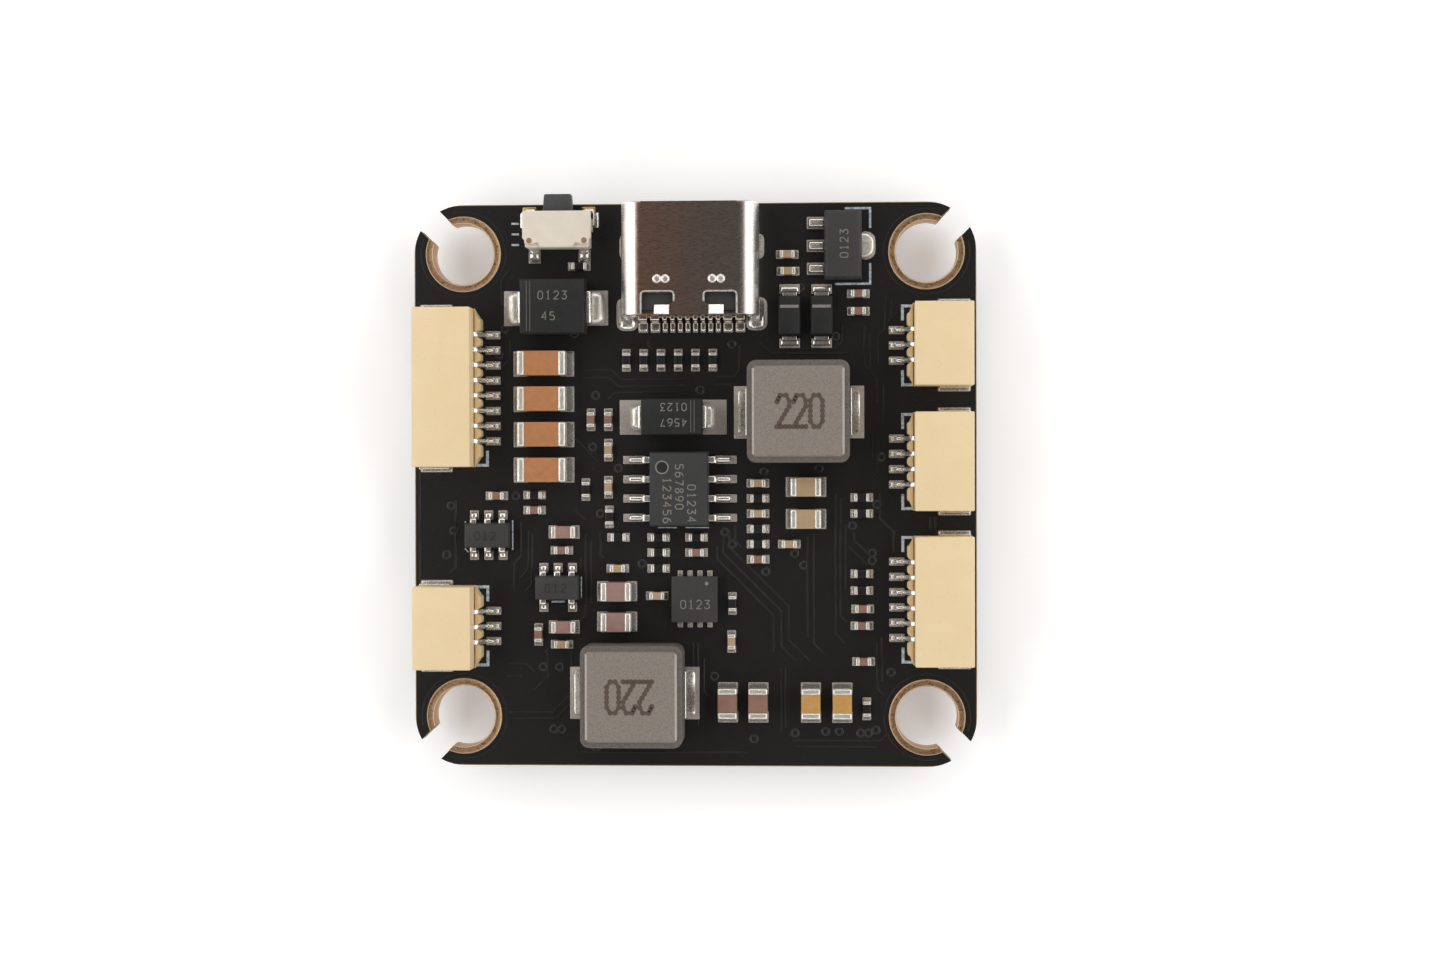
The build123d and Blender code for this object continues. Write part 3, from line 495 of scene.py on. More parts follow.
draw_line(marks, [(low.x + 0.15, low.y - 0.3), (low.x - 0.06, low.y - 0.1), (low.x - 0.06, high.y + 0.1)],
          board_top, 0.09)
draw_line(marks, [(high.x + 0.08, low.y - 0.15), (high.x + 0.08, high.y + 0.15)], board_top, 0.1)
low, high = (corner * 1000 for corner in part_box("logic_regulator_body"))
draw_line(marks, [(low.x + 1.0, low.y - 0.14), (high.x - 1.0, low.y - 0.14)], board_top, 0.14)
draw_line(marks, [(high.x + 0.08, low.y + 0.1), (high.x + 0.08, high.y - 0.1)], board_top, 0.08)
low, high = (corner * 1000 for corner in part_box("buck_converter_body"))
for start_x, end_x in ((low.x + 0.5, low.x + 1.75), (low.x + 2.3, high.x - 0.05)):
    draw_line(marks, [(start_x, low.y - 0.1), (end_x, low.y - 0.1)], board_top, 0.08)
draw_line(marks, [(low.x + 1.8, low.y + 0.02), (low.x + 2.1, low.y + 0.02)], board_top, 0.1)
low, high = (corner * 1000 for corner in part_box("button_base"))
for number in range(3):
    mark_y = low.y + 0.35 + 0.7 * number
    draw_line(marks, [(low.x - 0.95, mark_y), (low.x - 0.45, mark_y)], board_top, 0.14)
low, high = (corner * 1000 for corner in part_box("processor_body"))
for corner_x, inward_x in ((low.x - 1.35, 1), (high.x + 1.35, -1)):
    for corner_y, inward_y in ((low.y - 1.35, 1), (high.y + 1.35, -1)):
        path = [(corner_x + inward_x, corner_y), (corner_x, corner_y), (corner_x, corner_y + inward_y)]
        points = [Vector((x, y, board_low.z)) for x, y in path]
        marks.sweep(points, up_axis, [(a, -b) for a, b in ridge(0.18, ink_height, 0.012)])
marks.make("printed_marks", "board_laminate", [ink])


# Hole plating: a copper sleeve in each mounting hole that turns out into a flat ring on both faces, cut
# through where the corner slot passes. Handling has dulled it to a brownish rose gold, and pale ridges paint
# a highlight along the edges of each upper ring.
copper = Finish("bare_copper", Metallic=1.0)
stain = copper.noise(1.6, 4.0, 0.6)
copper.set(Base_Color=copper.mix(stain, tint(226, 188, 150), tint(178, 138, 106)))
copper.set(Roughness=copper.fade(copper.noise(6.0, 3.0), 0.3, 0.7, 0.26, 0.42))
copper.bump(copper.noise(20.0, 3.0), 0.012)
# Pale copper for the thin ridges on each ring's inner and outer edge: a painted highlight on those edges.
rim_highlight_copper = Finish("rim_highlight_copper", Metallic=0.4, Roughness=0.3)
rim_highlight_cloud = rim_highlight_copper.noise(3.0, 3.0)
rim_highlight_copper.set(Base_Color=rim_highlight_copper.mix(rim_highlight_cloud, tint(250, 226, 184), tint(232, 196, 154)))
rim_highlight_copper.bump(rim_highlight_copper.noise(14.0, 2.0), 0.008)
hole_radius = 2.0
ring_radius = 2.5
plating_thickness = 0.05
arc_steps = 72
mask_arc_radius = 2.82
plating = Shape()
mask_arcs = Shape()
for low, high in solids("hole_plating"):
    centre = (low + high) / 2
    outward = radians(45 + 90 * round((Vector(centre[:2]).angle_signed(Vector((1, 1))) / radians(90))))
    face_z, under_z, lip = high.z - plating_thickness, low.z + plating_thickness, 0.005
    inner, outer, edge = hole_radius, ring_radius, 0.1
    profile = [(inner, under_z), (inner, face_z - 0.05), (inner + 0.03, face_z + 0.035),
               (inner + edge, high.z + lip), (inner + edge + 0.06, high.z - lip),
               (outer - edge, high.z - lip),
               (outer - 0.06, high.z + lip), (outer, face_z + 0.02), (outer, face_z - 0.01),
               (inner + 0.06, face_z - 0.01), (inner + 0.06, under_z + 0.01), (outer, under_z + 0.01),
               (outer, under_z - 0.02), (outer - 0.06, low.z - lip), (outer - edge, low.z + lip),
               (inner + edge + 0.06, low.z + lip), (inner + edge, low.z - lip),
               (inner + 0.03, under_z - 0.035)]
    rings = []
    for i in range(arc_steps + 1):
        share = i / arc_steps
        ring = []
        for r, z in profile:
            half_gap = slot_half_width / r
            angle = outward + half_gap + (2 * pi - 2 * half_gap) * share
            ring.append((centre.x + r * cos(angle), centre.y + r * sin(angle), z))
        rings.append(ring)
    plating.loft(rings)
    # Two thin ridges along the upper ring's edges, in the pale copper that paints a highlight there.
    for rim_radius, rim_half in ((inner + 0.07, 0.035), (outer - 0.03, 0.022)):
        half_gap = slot_half_width / rim_radius + 0.02
        rim_path = []
        for i in range(arc_steps + 1):
            angle = outward + half_gap + (2 * pi - 2 * half_gap) * i / arc_steps
            rim_path.append(centre + Vector((rim_radius * cos(angle), rim_radius * sin(angle), 0)))
            rim_path[-1].z = high.z - 0.01
        rim_profile = [(-rim_half, 0), (-rim_half * 0.3, 0.026), (rim_half * 0.3, 0.026), (rim_half, 0)]
        plating.sweep(rim_path, up_axis, rim_profile, 1)
    arc = []
    for i in range(54):
        angle = outward + 0.45 + i * 0.1
        arc.append(Vector((centre.x + mask_arc_radius * cos(angle), centre.y + mask_arc_radius * sin(angle),
                           board_top)))
    mask_arcs.sweep(arc, up_axis, ridge(0.1, 0.02, 0.03))
plating.make("plated_holes", "copper", [copper, rim_highlight_copper], ["hole_plating"])
# The arcs take the lighter mask tone, a painted highlight on their ridges.
mask_arcs.make("mask_arcs", "board_laminate", [highlit_track_mask])


# USB socket: a folded steel shell, plated and brushed, on four legs soldered into board slots. Its
# black insulator shows through two stepped windows, and twelve leads come out under its back.
shell_steel = Finish("brushed_shell_steel", Metallic=1.0)
brushing = shell_steel.noise(1.0, 4.0, 0.0, (3.0, 60.0, 3.0))
across_top = shell_steel.add("ShaderNodeSeparateXYZ", {}, {"Vector": shell_steel.place}, "X")
# The flat top is tinted brown, browner towards -x: a painted reflection of the dark, warm surroundings above
# it. Brushing streaks then darken it here and there.
reflection_gradient = shell_steel.fade(across_top + shell_steel.noise(0.5, 3.0) * 3.0, -3.2, 4.2)
painted_reflection_tone = shell_steel.mix(reflection_gradient, tint(188, 146, 124), tint(160, 148, 142))
painted_reflection_tone = shell_steel.mix(brushing * 0.5, painted_reflection_tone, tint(134, 118, 108))
# The rounded sides turn near white: a painted highlight standing in for the side softboxes' reflection.
curve_highlight_share = shell_steel.fade(across_top * across_top, 3.35 ** 2, 3.75 ** 2)
shell_steel.set(Base_Color=shell_steel.mix(curve_highlight_share, painted_reflection_tone, tint(246, 243, 238)))
shell_steel.set(Roughness=shell_steel.fade(brushing, 0.2, 0.8, 0.22, 0.4))
shell_steel.bump(brushing, 0.004)
shell_steel.bump(shell_steel.noise(2.0, 2.0), 0.008)
# Near-white steel for the window rims, the bent tabs and the dimples: a painted highlight on them.
highlight_steel = Finish("painted_highlight_steel", Metallic=0.8)
highlight_steel.set(Base_Color=highlight_steel.mix(highlight_steel.noise(4.0, 3.0), tint(246, 243, 238), tint(222, 214, 204)))
highlight_steel.set(Roughness=highlight_steel.fade(highlight_steel.noise(8.0, 2.0), 0.3, 0.7, 0.24, 0.42))
highlight_steel.bump(highlight_steel.noise(12.0, 2.0), 0.006)

black_plastic = Finish("black_insulator", Roughness=0.5)
moulding_grain = black_plastic.noise(16.0, 3.0)
black_plastic.set(Base_Color=black_plastic.mix(moulding_grain, tint(34, 33, 33), tint(62, 60, 58)))
black_plastic.bump(moulding_grain, 0.01)

gold = Finish("gold_flash", Metallic=1.0)
gold.set(Base_Color=gold.mix(gold.noise(3.0, 3.0), tint(222, 184, 110), tint(196, 158, 92)))
gold.set(Roughness=gold.fade(gold.noise(9.0, 2.0), 0.3, 0.7, 0.2, 0.36))
gold.bump(gold.noise(25.0, 2.0), 0.005)

solder = Finish("bright_solder", Metallic=0.86)
solder_cloud = solder.noise(2.5, 3.0)
solder.set(Base_Color=solder.mix(solder_cloud, tint(244, 242, 236), tint(206, 200, 190)))
solder.set(Roughness=solder.fade(solder.noise(5.0, 2.0), 0.35, 0.7, 0.16, 0.34))
solder.bump(solder.noise(1.6, 2.0), 0.03)

end_tin = Finish("frosted_end_tin", Metallic=0.72)
end_frost = end_tin.noise(6.0, 3.0)
end_tin.set(Base_Color=end_tin.mix(end_frost, tint(246, 243, 236), tint(206, 198, 186)))
end_tin.set(Roughness=end_tin.fade(end_frost, 0.3, 0.7, 0.28, 0.48))
end_tin.bump(end_tin.noise(4.0, 3.0), 0.03)

tinned_pad = Finish("tinned_pad", Metallic=0.9)
pad_grain = tinned_pad.noise(16.0, 4.0)
tinned_pad.set(Base_Color=tinned_pad.mix(pad_grain, tint(196, 188, 180), tint(140, 130, 122)))
tinned_pad.set(Roughness=tinned_pad.fade(pad_grain, 0.3, 0.7, 0.42, 0.62))
tinned_pad.bump(pad_grain, 0.02)
pad_height = 0.05

lead_tin = Finish("plated_lead", Metallic=1.0)
lead_scuff = lead_tin.noise(4.0, 3.0)
lead_tin.set(Base_Color=lead_tin.mix(lead_scuff, tint(214, 204, 192), tint(176, 162, 148)))
lead_tin.set(Roughness=lead_tin.fade(lead_scuff, 0.3, 0.7, 0.16, 0.32))
lead_tin.bump(lead_tin.noise(7.0, 2.0), 0.006)


def rounded_levels(height, edge, foot=0.0, steps=3):
    """Levels of a block with a rounded upper edge and, if it has a foot, a rounded lower edge."""
    levels = [(0.0, foot), (foot, 0.0)] if foot else [(0.0, 0.0)]
    levels.append((height - edge, 0.0))
    for i in range(1, steps + 1):
        angle = radians(90 * i / steps)
        levels.append((height - edge * (1 - sin(angle)), edge * (1 - cos(angle))))
    return levels


def pad(shape, x0, y0, x1, y1, finish, corner=0.06, face_z=None, up=1, height=pad_height):
    """A tinned copper pad on the board, with a soft edge."""
    face_z = board_top if face_z is None else face_z
    spot = (min(x0, x1), min(y0, y1), face_z)
    shape.stack(spot, (max(x0, x1), max(y0, y1), face_z), rounded_levels(height, height * 0.7, 0, 2), corner,
                up, finish)


def mound(shape, x0, y0, x1, y1, height, finish, corner=0.1, face_z=None, up=1, rise=1.0):
    """A heap of solder. A rise over 1 wets up in a hollow curve, and under 1 it bulges."""
    face_z = board_top if face_z is None else face_z
    x0, x1, y0, y1 = min(x0, x1), max(x0, x1), min(y0, y1), max(y0, y1)
    deepest = min(x1 - x0, y1 - y0) * 0.46
    levels = [(0.0, 0.0)] + [(height * (i / 6) ** rise, deepest * i / 6) for i in range(1, 7)]
    if rise < 1:
        levels = [(height * sin(radians(15 * i)), deepest * (1 - cos(radians(15 * i)))) for i in range(7)]
    shape.stack((x0, y0, face_z), (x1, y1, face_z), levels, corner, up, finish, 4)


def wetting(shape, low, high, outward, height, finish, face_z, up=1, corner=0.12, hollow=2.0, steps=6):
    """Solder drawn up a wall: low and high are its plan, and outward is the way it runs down."""
    rings = []
    for i in range(steps + 1):
        share = i / steps * 0.94
        near, far = Vector(low[:2]), Vector(high[:2])
        length = abs((far - near).dot(Vector(outward[:2])))
        for axis in (0, 1):
            if outward[axis] > 0:
                far[axis] -= length * share
            elif outward[axis] < 0:
                near[axis] += length * share
            else:
                near[axis] += corner * share * 0.5
                far[axis] -= corner * share * 0.5
        radii = [0.02] * 4
        round_corners = {(1, 0): (0, 1), (0, 1): (1, 2), (-1, 0): (2, 3), (0, -1): (3, 0)}
        for number in round_corners[(round(outward[0]), round(outward[1]))]:
            radii[number] = corner * (1 - share)
        plan = outline(near.x, near.y, far.x, far.y, tuple(radii), 4)
        rings.append([(x, y, face_z + up * height * share ** hollow) for x, y in plan])
    shape.loft(rings, finish)


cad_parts["usb_insulator"].data.materials.clear()
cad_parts["usb_insulator"].data.materials.append(black_plastic.material)
shell_low, shell_high = (corner * 1000 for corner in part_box("usb_shell"))
usb_x = (shell_low.x + shell_high.x) / 2
shell_bottom, shell_top, shell_rear, shell_front = board_top, shell_high.z, shell_low.y, shell_high.y
shell_half = (shell_high.x - shell_low.x) / 2
shell_wall = 0.3
flat_half = 3.1
front_leg_y = shell_front - 2.65
rear_leg_y = shell_front - 6.75
shell = Shape()


def shell_curve(inset):
    """The shell's section from one end of its flat top, down round the mouth, to the other end."""
    plan = outline(-shell_half + inset, shell_bottom + inset, shell_half - inset, shell_top - inset,
                   1.3 - inset, 8)
    middle_z = (shell_bottom + shell_top) / 2
    top_z = shell_top - inset
    curve = [(flat_half, top_z)]
    for side, is_upper in ((1, True), (1, False), (-1, False), (-1, True)):
        quarter = [(x, z) for x, z in plan if x * side > 0 and (z > middle_z) == is_upper]
        curve += quarter[::-1]
    return curve + [(-flat_half, top_z)]


outer_curve, inner_curve = shell_curve(0.0), shell_curve(shell_wall)
mid_outer, mid_inner = shell_curve(0.03), shell_curve(shell_wall - 0.03)
shell_rings = []
for y, outer_part, inner_part in ((shell_rear, mid_outer, mid_inner),
                                  (shell_rear + 0.04, outer_curve, inner_curve),
                                  (shell_rear + 0.12, outer_curve, inner_curve),
                                  (shell_front - 0.12, outer_curve, inner_curve),
                                  (shell_front - 0.04, outer_curve, inner_curve),
                                  (shell_front, mid_outer, mid_inner)):
    shell_rings.append([(usb_x + x, y, z) for x, z in outer_part + inner_part[::-1]])
shell.loft(shell_rings)

window_depth = 1.5
window_step = 0.68
window_inner = 0.96
window_outer = 3.1
tab_end = 2.26
leg_foot_z = 0.4
window_front = shell_rear + window_depth
half_top = [(flat_half, shell_front), (flat_half, window_front), (window_inner + 0.22, window_front),
            (window_inner + 0.06, window_front - 0.06), (window_inner, window_front - 0.22),
            (window_inner, shell_rear + 0.95), (window_inner + 0.06, shell_rear + 0.8),
            (window_inner + 0.2, shell_rear + window_step), (window_inner + 0.3, shell_rear + window_step),
            (window_inner + 0.3, shell_rear)]
top_plan = half_top + [(-x, y) for x, y in half_top[::-1]]
shell.loft([[(usb_x + x, y, z) for x, y in top_plan] for z in (shell_top - shell_wall, shell_top)])
for side in (-1, 1):
    # The window rims, bent tabs and dimples below take the near-white steel that paints a highlight on them.
    rim = [Vector((usb_x + side * x, y, shell_top - 0.03)) for x, y in (
        (window_outer, shell_rear + 0.05), (window_outer, window_front),
        (window_inner, window_front), (window_inner, shell_rear + 0.85))]
    rim_profile = [(-0.065, 0), (-0.045, 0.035), (0.0, 0.05), (0.045, 0.035), (0.065, 0)]
    shell.sweep(bend(rim, 0.28, 6), up_axis, rim_profile, 1)
    tab_x = usb_x + side * (window_inner + 0.3 + tab_end) / 2
    tab_half = (tab_end - window_inner - 0.3) / 2
    tab = [Vector((tab_x, shell_rear + 0.02, shell_top - 0.05)),
           Vector((tab_x, shell_rear + 0.62, shell_top - 0.3))]
    shell.sweep(tab, Vector((1, 0, 0)), outline(-0.05, -tab_half, 0.05, tab_half, 0.03), 1)
    for offset in (-0.27, 0.27):
        dimple_x, dimple_y = usb_x + side * 1.79 + offset, shell_rear + 2.3
        spot_low = (dimple_x - 0.3, dimple_y - 0.3, shell_top - 0.02)
        spot_high = (dimple_x + 0.3, dimple_y + 0.3, shell_top)
        dome_levels = [(0, 0), (0.05, 0.01), (0.09, 0.05), (0.12, 0.11), (0.135, 0.18), (0.14, 0.26)]
        shell.stack(spot_low, spot_high, dome_levels, 0.3, 1, 1, 7)
    for leg_y, leg_length in ((front_leg_y, 1.1), (rear_leg_y, 0.8)):
        leg_x = usb_x + side * (shell_half - shell_wall / 2)
        leg_low = (leg_x - 0.15, leg_y - leg_length / 2, leg_foot_z)
        leg_high = (leg_x + 0.15, leg_y + leg_length / 2, shell_bottom + 1.4)
        shell.stack(leg_low, leg_high, [(0.0, 0.06), (0.08, 0.0), (leg_high[2] - leg_foot_z, 0.0)], 0.06)
plate_low = (usb_x - 3.9, shell_rear + 0.02, shell_bottom + 1.1)
plate_high = (usb_x + 3.9, shell_rear + shell_wall, shell_top)
shell.stack(plate_low, plate_high, rounded_levels(1.3, 0.05, 0.03), 0.03)
shell.make("usb_shell_steel", "socket_steel", [shell_steel, highlight_steel], ["usb_shell"])

usb_joints = Shape()
leg_pads = [(shell_front - 3.5, shell_front - 1.8, 0.3, 0.5),
            (shell_rear - 0.87, shell_rear + 1.32, 0.5, 0.95)]
for side, wall_x in ((-1, shell_low.x), (1, shell_high.x)):
    for pad_start, pad_end, reach, inner_reach in leg_pads:
        pad(usb_joints, wall_x - side * inner_reach, pad_start, wall_x + side * reach, pad_end, 1, 0.48)
        heap_x0, heap_x1 = sorted((wall_x - side * 0.02, wall_x + side * (reach - 0.06)))
        wetting(usb_joints, (heap_x0, pad_start + 0.5), (heap_x1, pad_end - 0.1), (side, 0), 0.5, 0,
                board_top, 1, 0.25)
        if pad_start < shell_rear:
            mound(usb_joints, wall_x - side * 0.78, pad_start + 0.08, wall_x + side * 0.36, shell_rear + 0.3,
                  0.22, 0, 0.4,
                  None, 1, 0.5)
        under, half = wall_x - side * 0.15, 0.85
        under_y = front_leg_y if pad_start > shell_rear else rear_leg_y
        pad(usb_joints, under - 0.55, under_y - half - 0.05, under + 0.55, under_y + half + 0.05, 1, 0.5,
            board_low.z, -1)
        mound(usb_joints, under - 0.42, under_y - half + 0.08, under + 0.42, under_y + half - 0.08, 0.42, 0,
              0.4,
              board_low.z, -1, 1.6)
usb_joints.make("usb_leg_solder", "tinned_metal", [solder, tinned_pad])


def gull_lead(shape, low, high, outward, thickness, finish, up=1, shoulder=0.3, bend_radius=0.14, lean=0.12):
    """A lead that leaves its package level, drops in a soft double bend and ends in a flat foot."""
    along = Vector((outward[0], outward[1], 0))
    across = Vector((-along.y, along.x, 0))
    middle = (low + high) / 2
    reach = abs((high - low).dot(along))
    width = abs((high - low).dot(across))
    base_z = low.z if up > 0 else high.z
    start = middle - along * reach / 2
    height = high.z - low.z

    def spot(out, rise):
        return Vector((start.x + along.x * out, start.y + along.y * out, base_z + up * rise))

    drop = reach * shoulder + thickness / 2
    path = [spot(-0.05, height - thickness / 2), spot(drop, height - thickness / 2),
            spot(drop + lean, thickness / 2 + 0.01), spot(reach, thickness / 2 + 0.01)]
    section = outline(-thickness / 2, -width / 2, thickness / 2, width / 2, thickness * 0.28, 2)
    shape.sweep(bend(path, bend_radius), across, section, finish)


def lead_joint(shape, low, high, outward, beyond, extra, heap, face_z, up=1, finishes=(0, 1), inner=0.3):
    """A lead's solder pad, with the solder heaped round its foot. The heap ends just past the toe."""
    along = Vector((outward[0], outward[1], 0))
    across = Vector((abs(along.y), abs(along.x), 0))
    middle = (low + high) / 2
    half_reach = abs((high - low).dot(along)) / 2
    half_width = (high - low).dot(across) / 2 + extra
    start = middle + along * (half_reach * (2 * inner - 1))
    end = middle + along * (half_reach + beyond)
    heap_end = middle + along * (half_reach + beyond * 0.55)
    a, b = start - across * half_width, end + across * half_width
    pad(shape, a.x, a.y, b.x, b.y, finishes[1], 0.05, face_z, up)
    slim = half_width - 0.04
    a, b = start + along * 0.05 - across * slim, heap_end + across * slim
    mound(shape, a.x, a.y, b.x, b.y, heap, finishes[0], 0.12, face_z, up, 0.5)


contacts = Shape()
for low, high in solids("usb_contacts"):
    if low.y > shell_low.y + 1:
        contacts.stack(low, high, [(0, 0), (high.z - low.z, 0.01)], 0.02, 1, 2)
        continue
    gull_lead(contacts, low, high, (0, -1), 0.15, 3, 1, 0.35)
    pad(contacts, low.x - 0.02, low.y - 0.14, high.x + 0.02, low.y + 0.5, 1)
    mound(contacts, low.x, low.y - 0.1, high.x, low.y + 0.16, 0.2, 0, 0.08, None, 1, 0.5)
contacts.make("usb_leads", "tinned_metal", [solder, tinned_pad, gold, lead_tin], ["usb_contacts"])


# Push button: an ivory nylon case with its lid staked over two pegs, and a dark grey plunger that
# sticks out over the board's edge. Its feet are soldered behind and in front.
ivory = Finish("ivory_nylon", Roughness=0.48, Subsurface_Weight=0.12,
               Subsurface_Radius=(0.0006, 0.0004, 0.0003))
ivory_clouds = ivory.noise(1.2, 3.0)
ivory_specks = ivory.fade(ivory.noise(11.0, 2.0), 0.66, 0.76)
ivory_base = ivory.mix(ivory_clouds, tint(216, 205, 188), tint(230, 221, 206))
ivory.set(Base_Color=ivory.mix(ivory_specks * 0.5, ivory_base, tint(184, 168, 146)))
ivory.bump(ivory.noise(14.0, 3.0), 0.012)

peg_brown = Finish("staked_peg", Roughness=0.55)
peg_brown.set(Base_Color=peg_brown.mix(peg_brown.noise(8.0, 3.0), tint(122, 92, 66), tint(166, 134, 100)))
peg_brown.bump(peg_brown.noise(12.0, 2.0), 0.02)

grey_nylon = Finish("grey_glass_nylon", Roughness=0.5)
fibres = grey_nylon.noise(1.0, 3.0, 0.4, (9.0, 26.0, 9.0))
grey_nylon.set(Base_Color=grey_nylon.mix(fibres, tint(42, 42, 43), tint(80, 80, 81)))
grey_nylon.bump(fibres, 0.012)

spring_steel = Finish("spring_steel", Metallic=1.0, Roughness=0.3)
spring_steel.set(Base_Color=spring_steel.mix(spring_steel.noise(2.0), tint(190, 188, 184),
                                             tint(166, 162, 158)))
spring_steel.bump(spring_steel.noise(9.0, 2.0), 0.004)
case_low, case_high = (corner * 1000 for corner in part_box("button_base"))
plunger_low, plunger_high = (corner * 1000 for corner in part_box("button_plunger"))
case_x = (case_low.x + case_high.x) / 2
peg_inset = 0.45
peg_reach = 2.25 - peg_inset
stem_reach = 0.975


def stepped_plan(grow):
    """The case's outline: a wide front, shoulders cut back at the rear and a rounded middle between them."""
    half = (case_high.x - case_low.x) / 2 + grow
    front, rear = case_high.y + grow, case_low.y - grow
    right = [(half, front - 0.08), (half, rear + 0.62), (half - 0.12, rear + 0.5),
             (half - 0.14, rear + 0.3), (half - 0.24, rear + 0.2), (half - 0.72, rear + 0.2),
             (half - 0.84, rear + 0.28), (half - 1.04, rear + 0.28), (half - 1.16, rear + 0.04),
             (half - 1.26, rear)]
    left = [(-x, y) for x, y in reversed(right)]
    plan = [(half - 0.08, front)] + right + left + [(-half + 0.08, front)]
    return [(case_x + x, y) for x, y in plan]


case = Shape()
lid_z = case_high.z - 0.25
stem_half = (plunger_high.x - plunger_low.x) / 2 + 0.05
pocket_y = case_high.y - 0.5
for side in (-1, 1):
    for inner_x, rear_y in ((stem_half - 0.32, pocket_y), (stem_half, pocket_y - 0.75)):
        x0, x1 = sorted((case_x + side * inner_x, case_x + side * 2.22))
        case.stack((x0, rear_y, case_low.z), (x1, case_high.y, lid_z),
                   rounded_levels(lid_z - case_low.z, 0.04), 0.03)
case.stack((case_x - 2.0, pocket_y, case_low.z), (case_x + 2.0, case_high.y, lid_z),
           rounded_levels(0.3, 0.04), 0.05)
rear_block = (case_x - 2.1, case_low.y + 0.03, case_low.z), (case_x + 2.1, pocket_y - 0.7, lid_z)
case.stack(*rear_block, rounded_levels(lid_z - case_low.z, 0.04), 0.1)
lid_levels = [(lid_z - 0.02, -0.05), (lid_z + 0.02, -0.01), (case_high.z - 0.09, 0.0),
              (case_high.z - 0.03, -0.03), (case_high.z - 0.005, -0.09), (case_high.z, -0.16)]
case.loft([[(x, y, z) for x, y in stepped_plan(grow)] for z, grow in lid_levels])
for side in (-1, 1):
    peg = Vector((case_x + side * peg_reach, case_low.y + peg_inset, case_high.z))
    ring = (peg.x - 0.19, peg.y - 0.19, peg.z - 0.05), (peg.x + 0.19, peg.y + 0.19, peg.z)
    case.stack(*ring, [(0, 0), (0.052, 0.0), (0.07, 0.03), (0.075, 0.1)], 0.19, 1, 1, 5)
case.make("button_case", "ivory_plastic", [ivory, peg_brown], ["button_base", "button_cover"])

plunger = Shape()
stem_rings = []
for y, shrink in ((plunger_low.y + 0.1, 0.0), (case_high.y, 0.0), (plunger_high.y - 0.12, 0.07),
                  (plunger_high.y - 0.03, 0.1), (plunger_high.y, 0.17)):
    section = outline(case_x - stem_reach + shrink, plunger_low.z + shrink * 0.4,
                      case_x + stem_reach - shrink, plunger_high.z - shrink * 0.4, 0.09)
    stem_rings.append([(x, y, z) for x, z in section])
plunger.loft(stem_rings)
plunger.stack((plunger_low.x, plunger_low.y, plunger_low.z),
              (plunger_high.x, plunger_low.y + 0.3, plunger_high.z),
              rounded_levels(plunger_high.z - plunger_low.z, 0.05, 0.05), 0.05)
plunger.make("button_plunger_stem", "grey_plastic", [grey_nylon], ["button_plunger"], "button")

dome_low, dome_high = (corner * 1000 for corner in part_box("button_dome"))
dome_thickness = 0.08
dome_half = (dome_high.x - dome_low.x) / 2 - dome_thickness / 2
dome_rise = dome_high.y - dome_low.y - dome_thickness
dome_middle = (dome_low + dome_high) / 2
bow = []
for i in range(13):
    share = i / 6 - 1
    bow.append(Vector((dome_middle.x + dome_half * share,
                       dome_low.y + dome_thickness / 2 + dome_rise * (1 - share ** 2), dome_middle.z)))
half_strip = (dome_high.z - dome_low.z) / 2
dome_strip = Shape()
dome_strip.sweep(bow, up_axis, outline(-dome_thickness / 2, -half_strip, dome_thickness / 2, half_strip,
                                       0.02))
dome = dome_strip.make("button_dome_strip", "spring_steel", [spring_steel], ["button_dome"])
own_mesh(dome)

feet = Shape()
for low, high in solids("button_terminals"):
    side = -1 if (low.x + high.x) / 2 < case_x else 1
    if high.y < case_low.y + 0.1:
        feet.stack(low, high, rounded_levels(high.z - low.z, 0.05), 0.08)
        pad(feet, low.x - 0.1, low.y - 0.14, high.x + 0.1, case_low.y, 1)
        mound(feet, low.x - 0.08, low.y - 0.08, high.x + 0.08, case_low.y + 0.1, 0.34, 0, 0.2, None, 1, 0.5)
        for turn in (-1, 1):
            middle = Vector(((low.x + high.x) / 2, low.y + 0.33, board_top + 0.28))
            arm = Vector((0.26, 0.26 * turn, 0))
            arm_profile = [(-0.07, 0), (-0.04, 0.05), (0.04, 0.05), (0.07, 0)]
            feet.sweep([middle - arm, middle, middle + arm], up_axis, arm_profile)
    else:
        wall_x = case_low.x if side < 0 else case_high.x
        tab = (min(wall_x, wall_x + side * 0.15), case_high.y - 0.9, board_top)
        tab_far = (max(wall_x, wall_x + side * 0.15), case_high.y, board_top + 1.0)
        feet.stack(tab, tab_far, rounded_levels(1.0, 0.06), 0.05)
        wetting(feet, (min(wall_x, wall_x + side * 0.36), case_high.y - 0.95),
                (max(wall_x, wall_x + side * 0.36), case_high.y + 0.05), (side, 0), 0.4, 0, board_top)
        foot_x = case_x + side * 1.95
        pad(feet, foot_x - 0.5, case_high.y - 0.1, foot_x + 0.42, case_high.y + 0.42, 2)
        feet.stack((foot_x - 0.3, case_high.y - 0.05, board_top),
                   (foot_x + 0.3, case_high.y + 0.3, board_top),
                   rounded_levels(0.15, 0.05), 0.08)
        mound(feet, foot_x - 0.42, case_high.y - 0.05, foot_x + 0.38, case_high.y + 0.3, 0.2, 0, 0.16, None,
              1, 0.5)
feet.make("button_feet", "tinned_metal", [solder, tinned_pad, gold], ["button_terminals"])


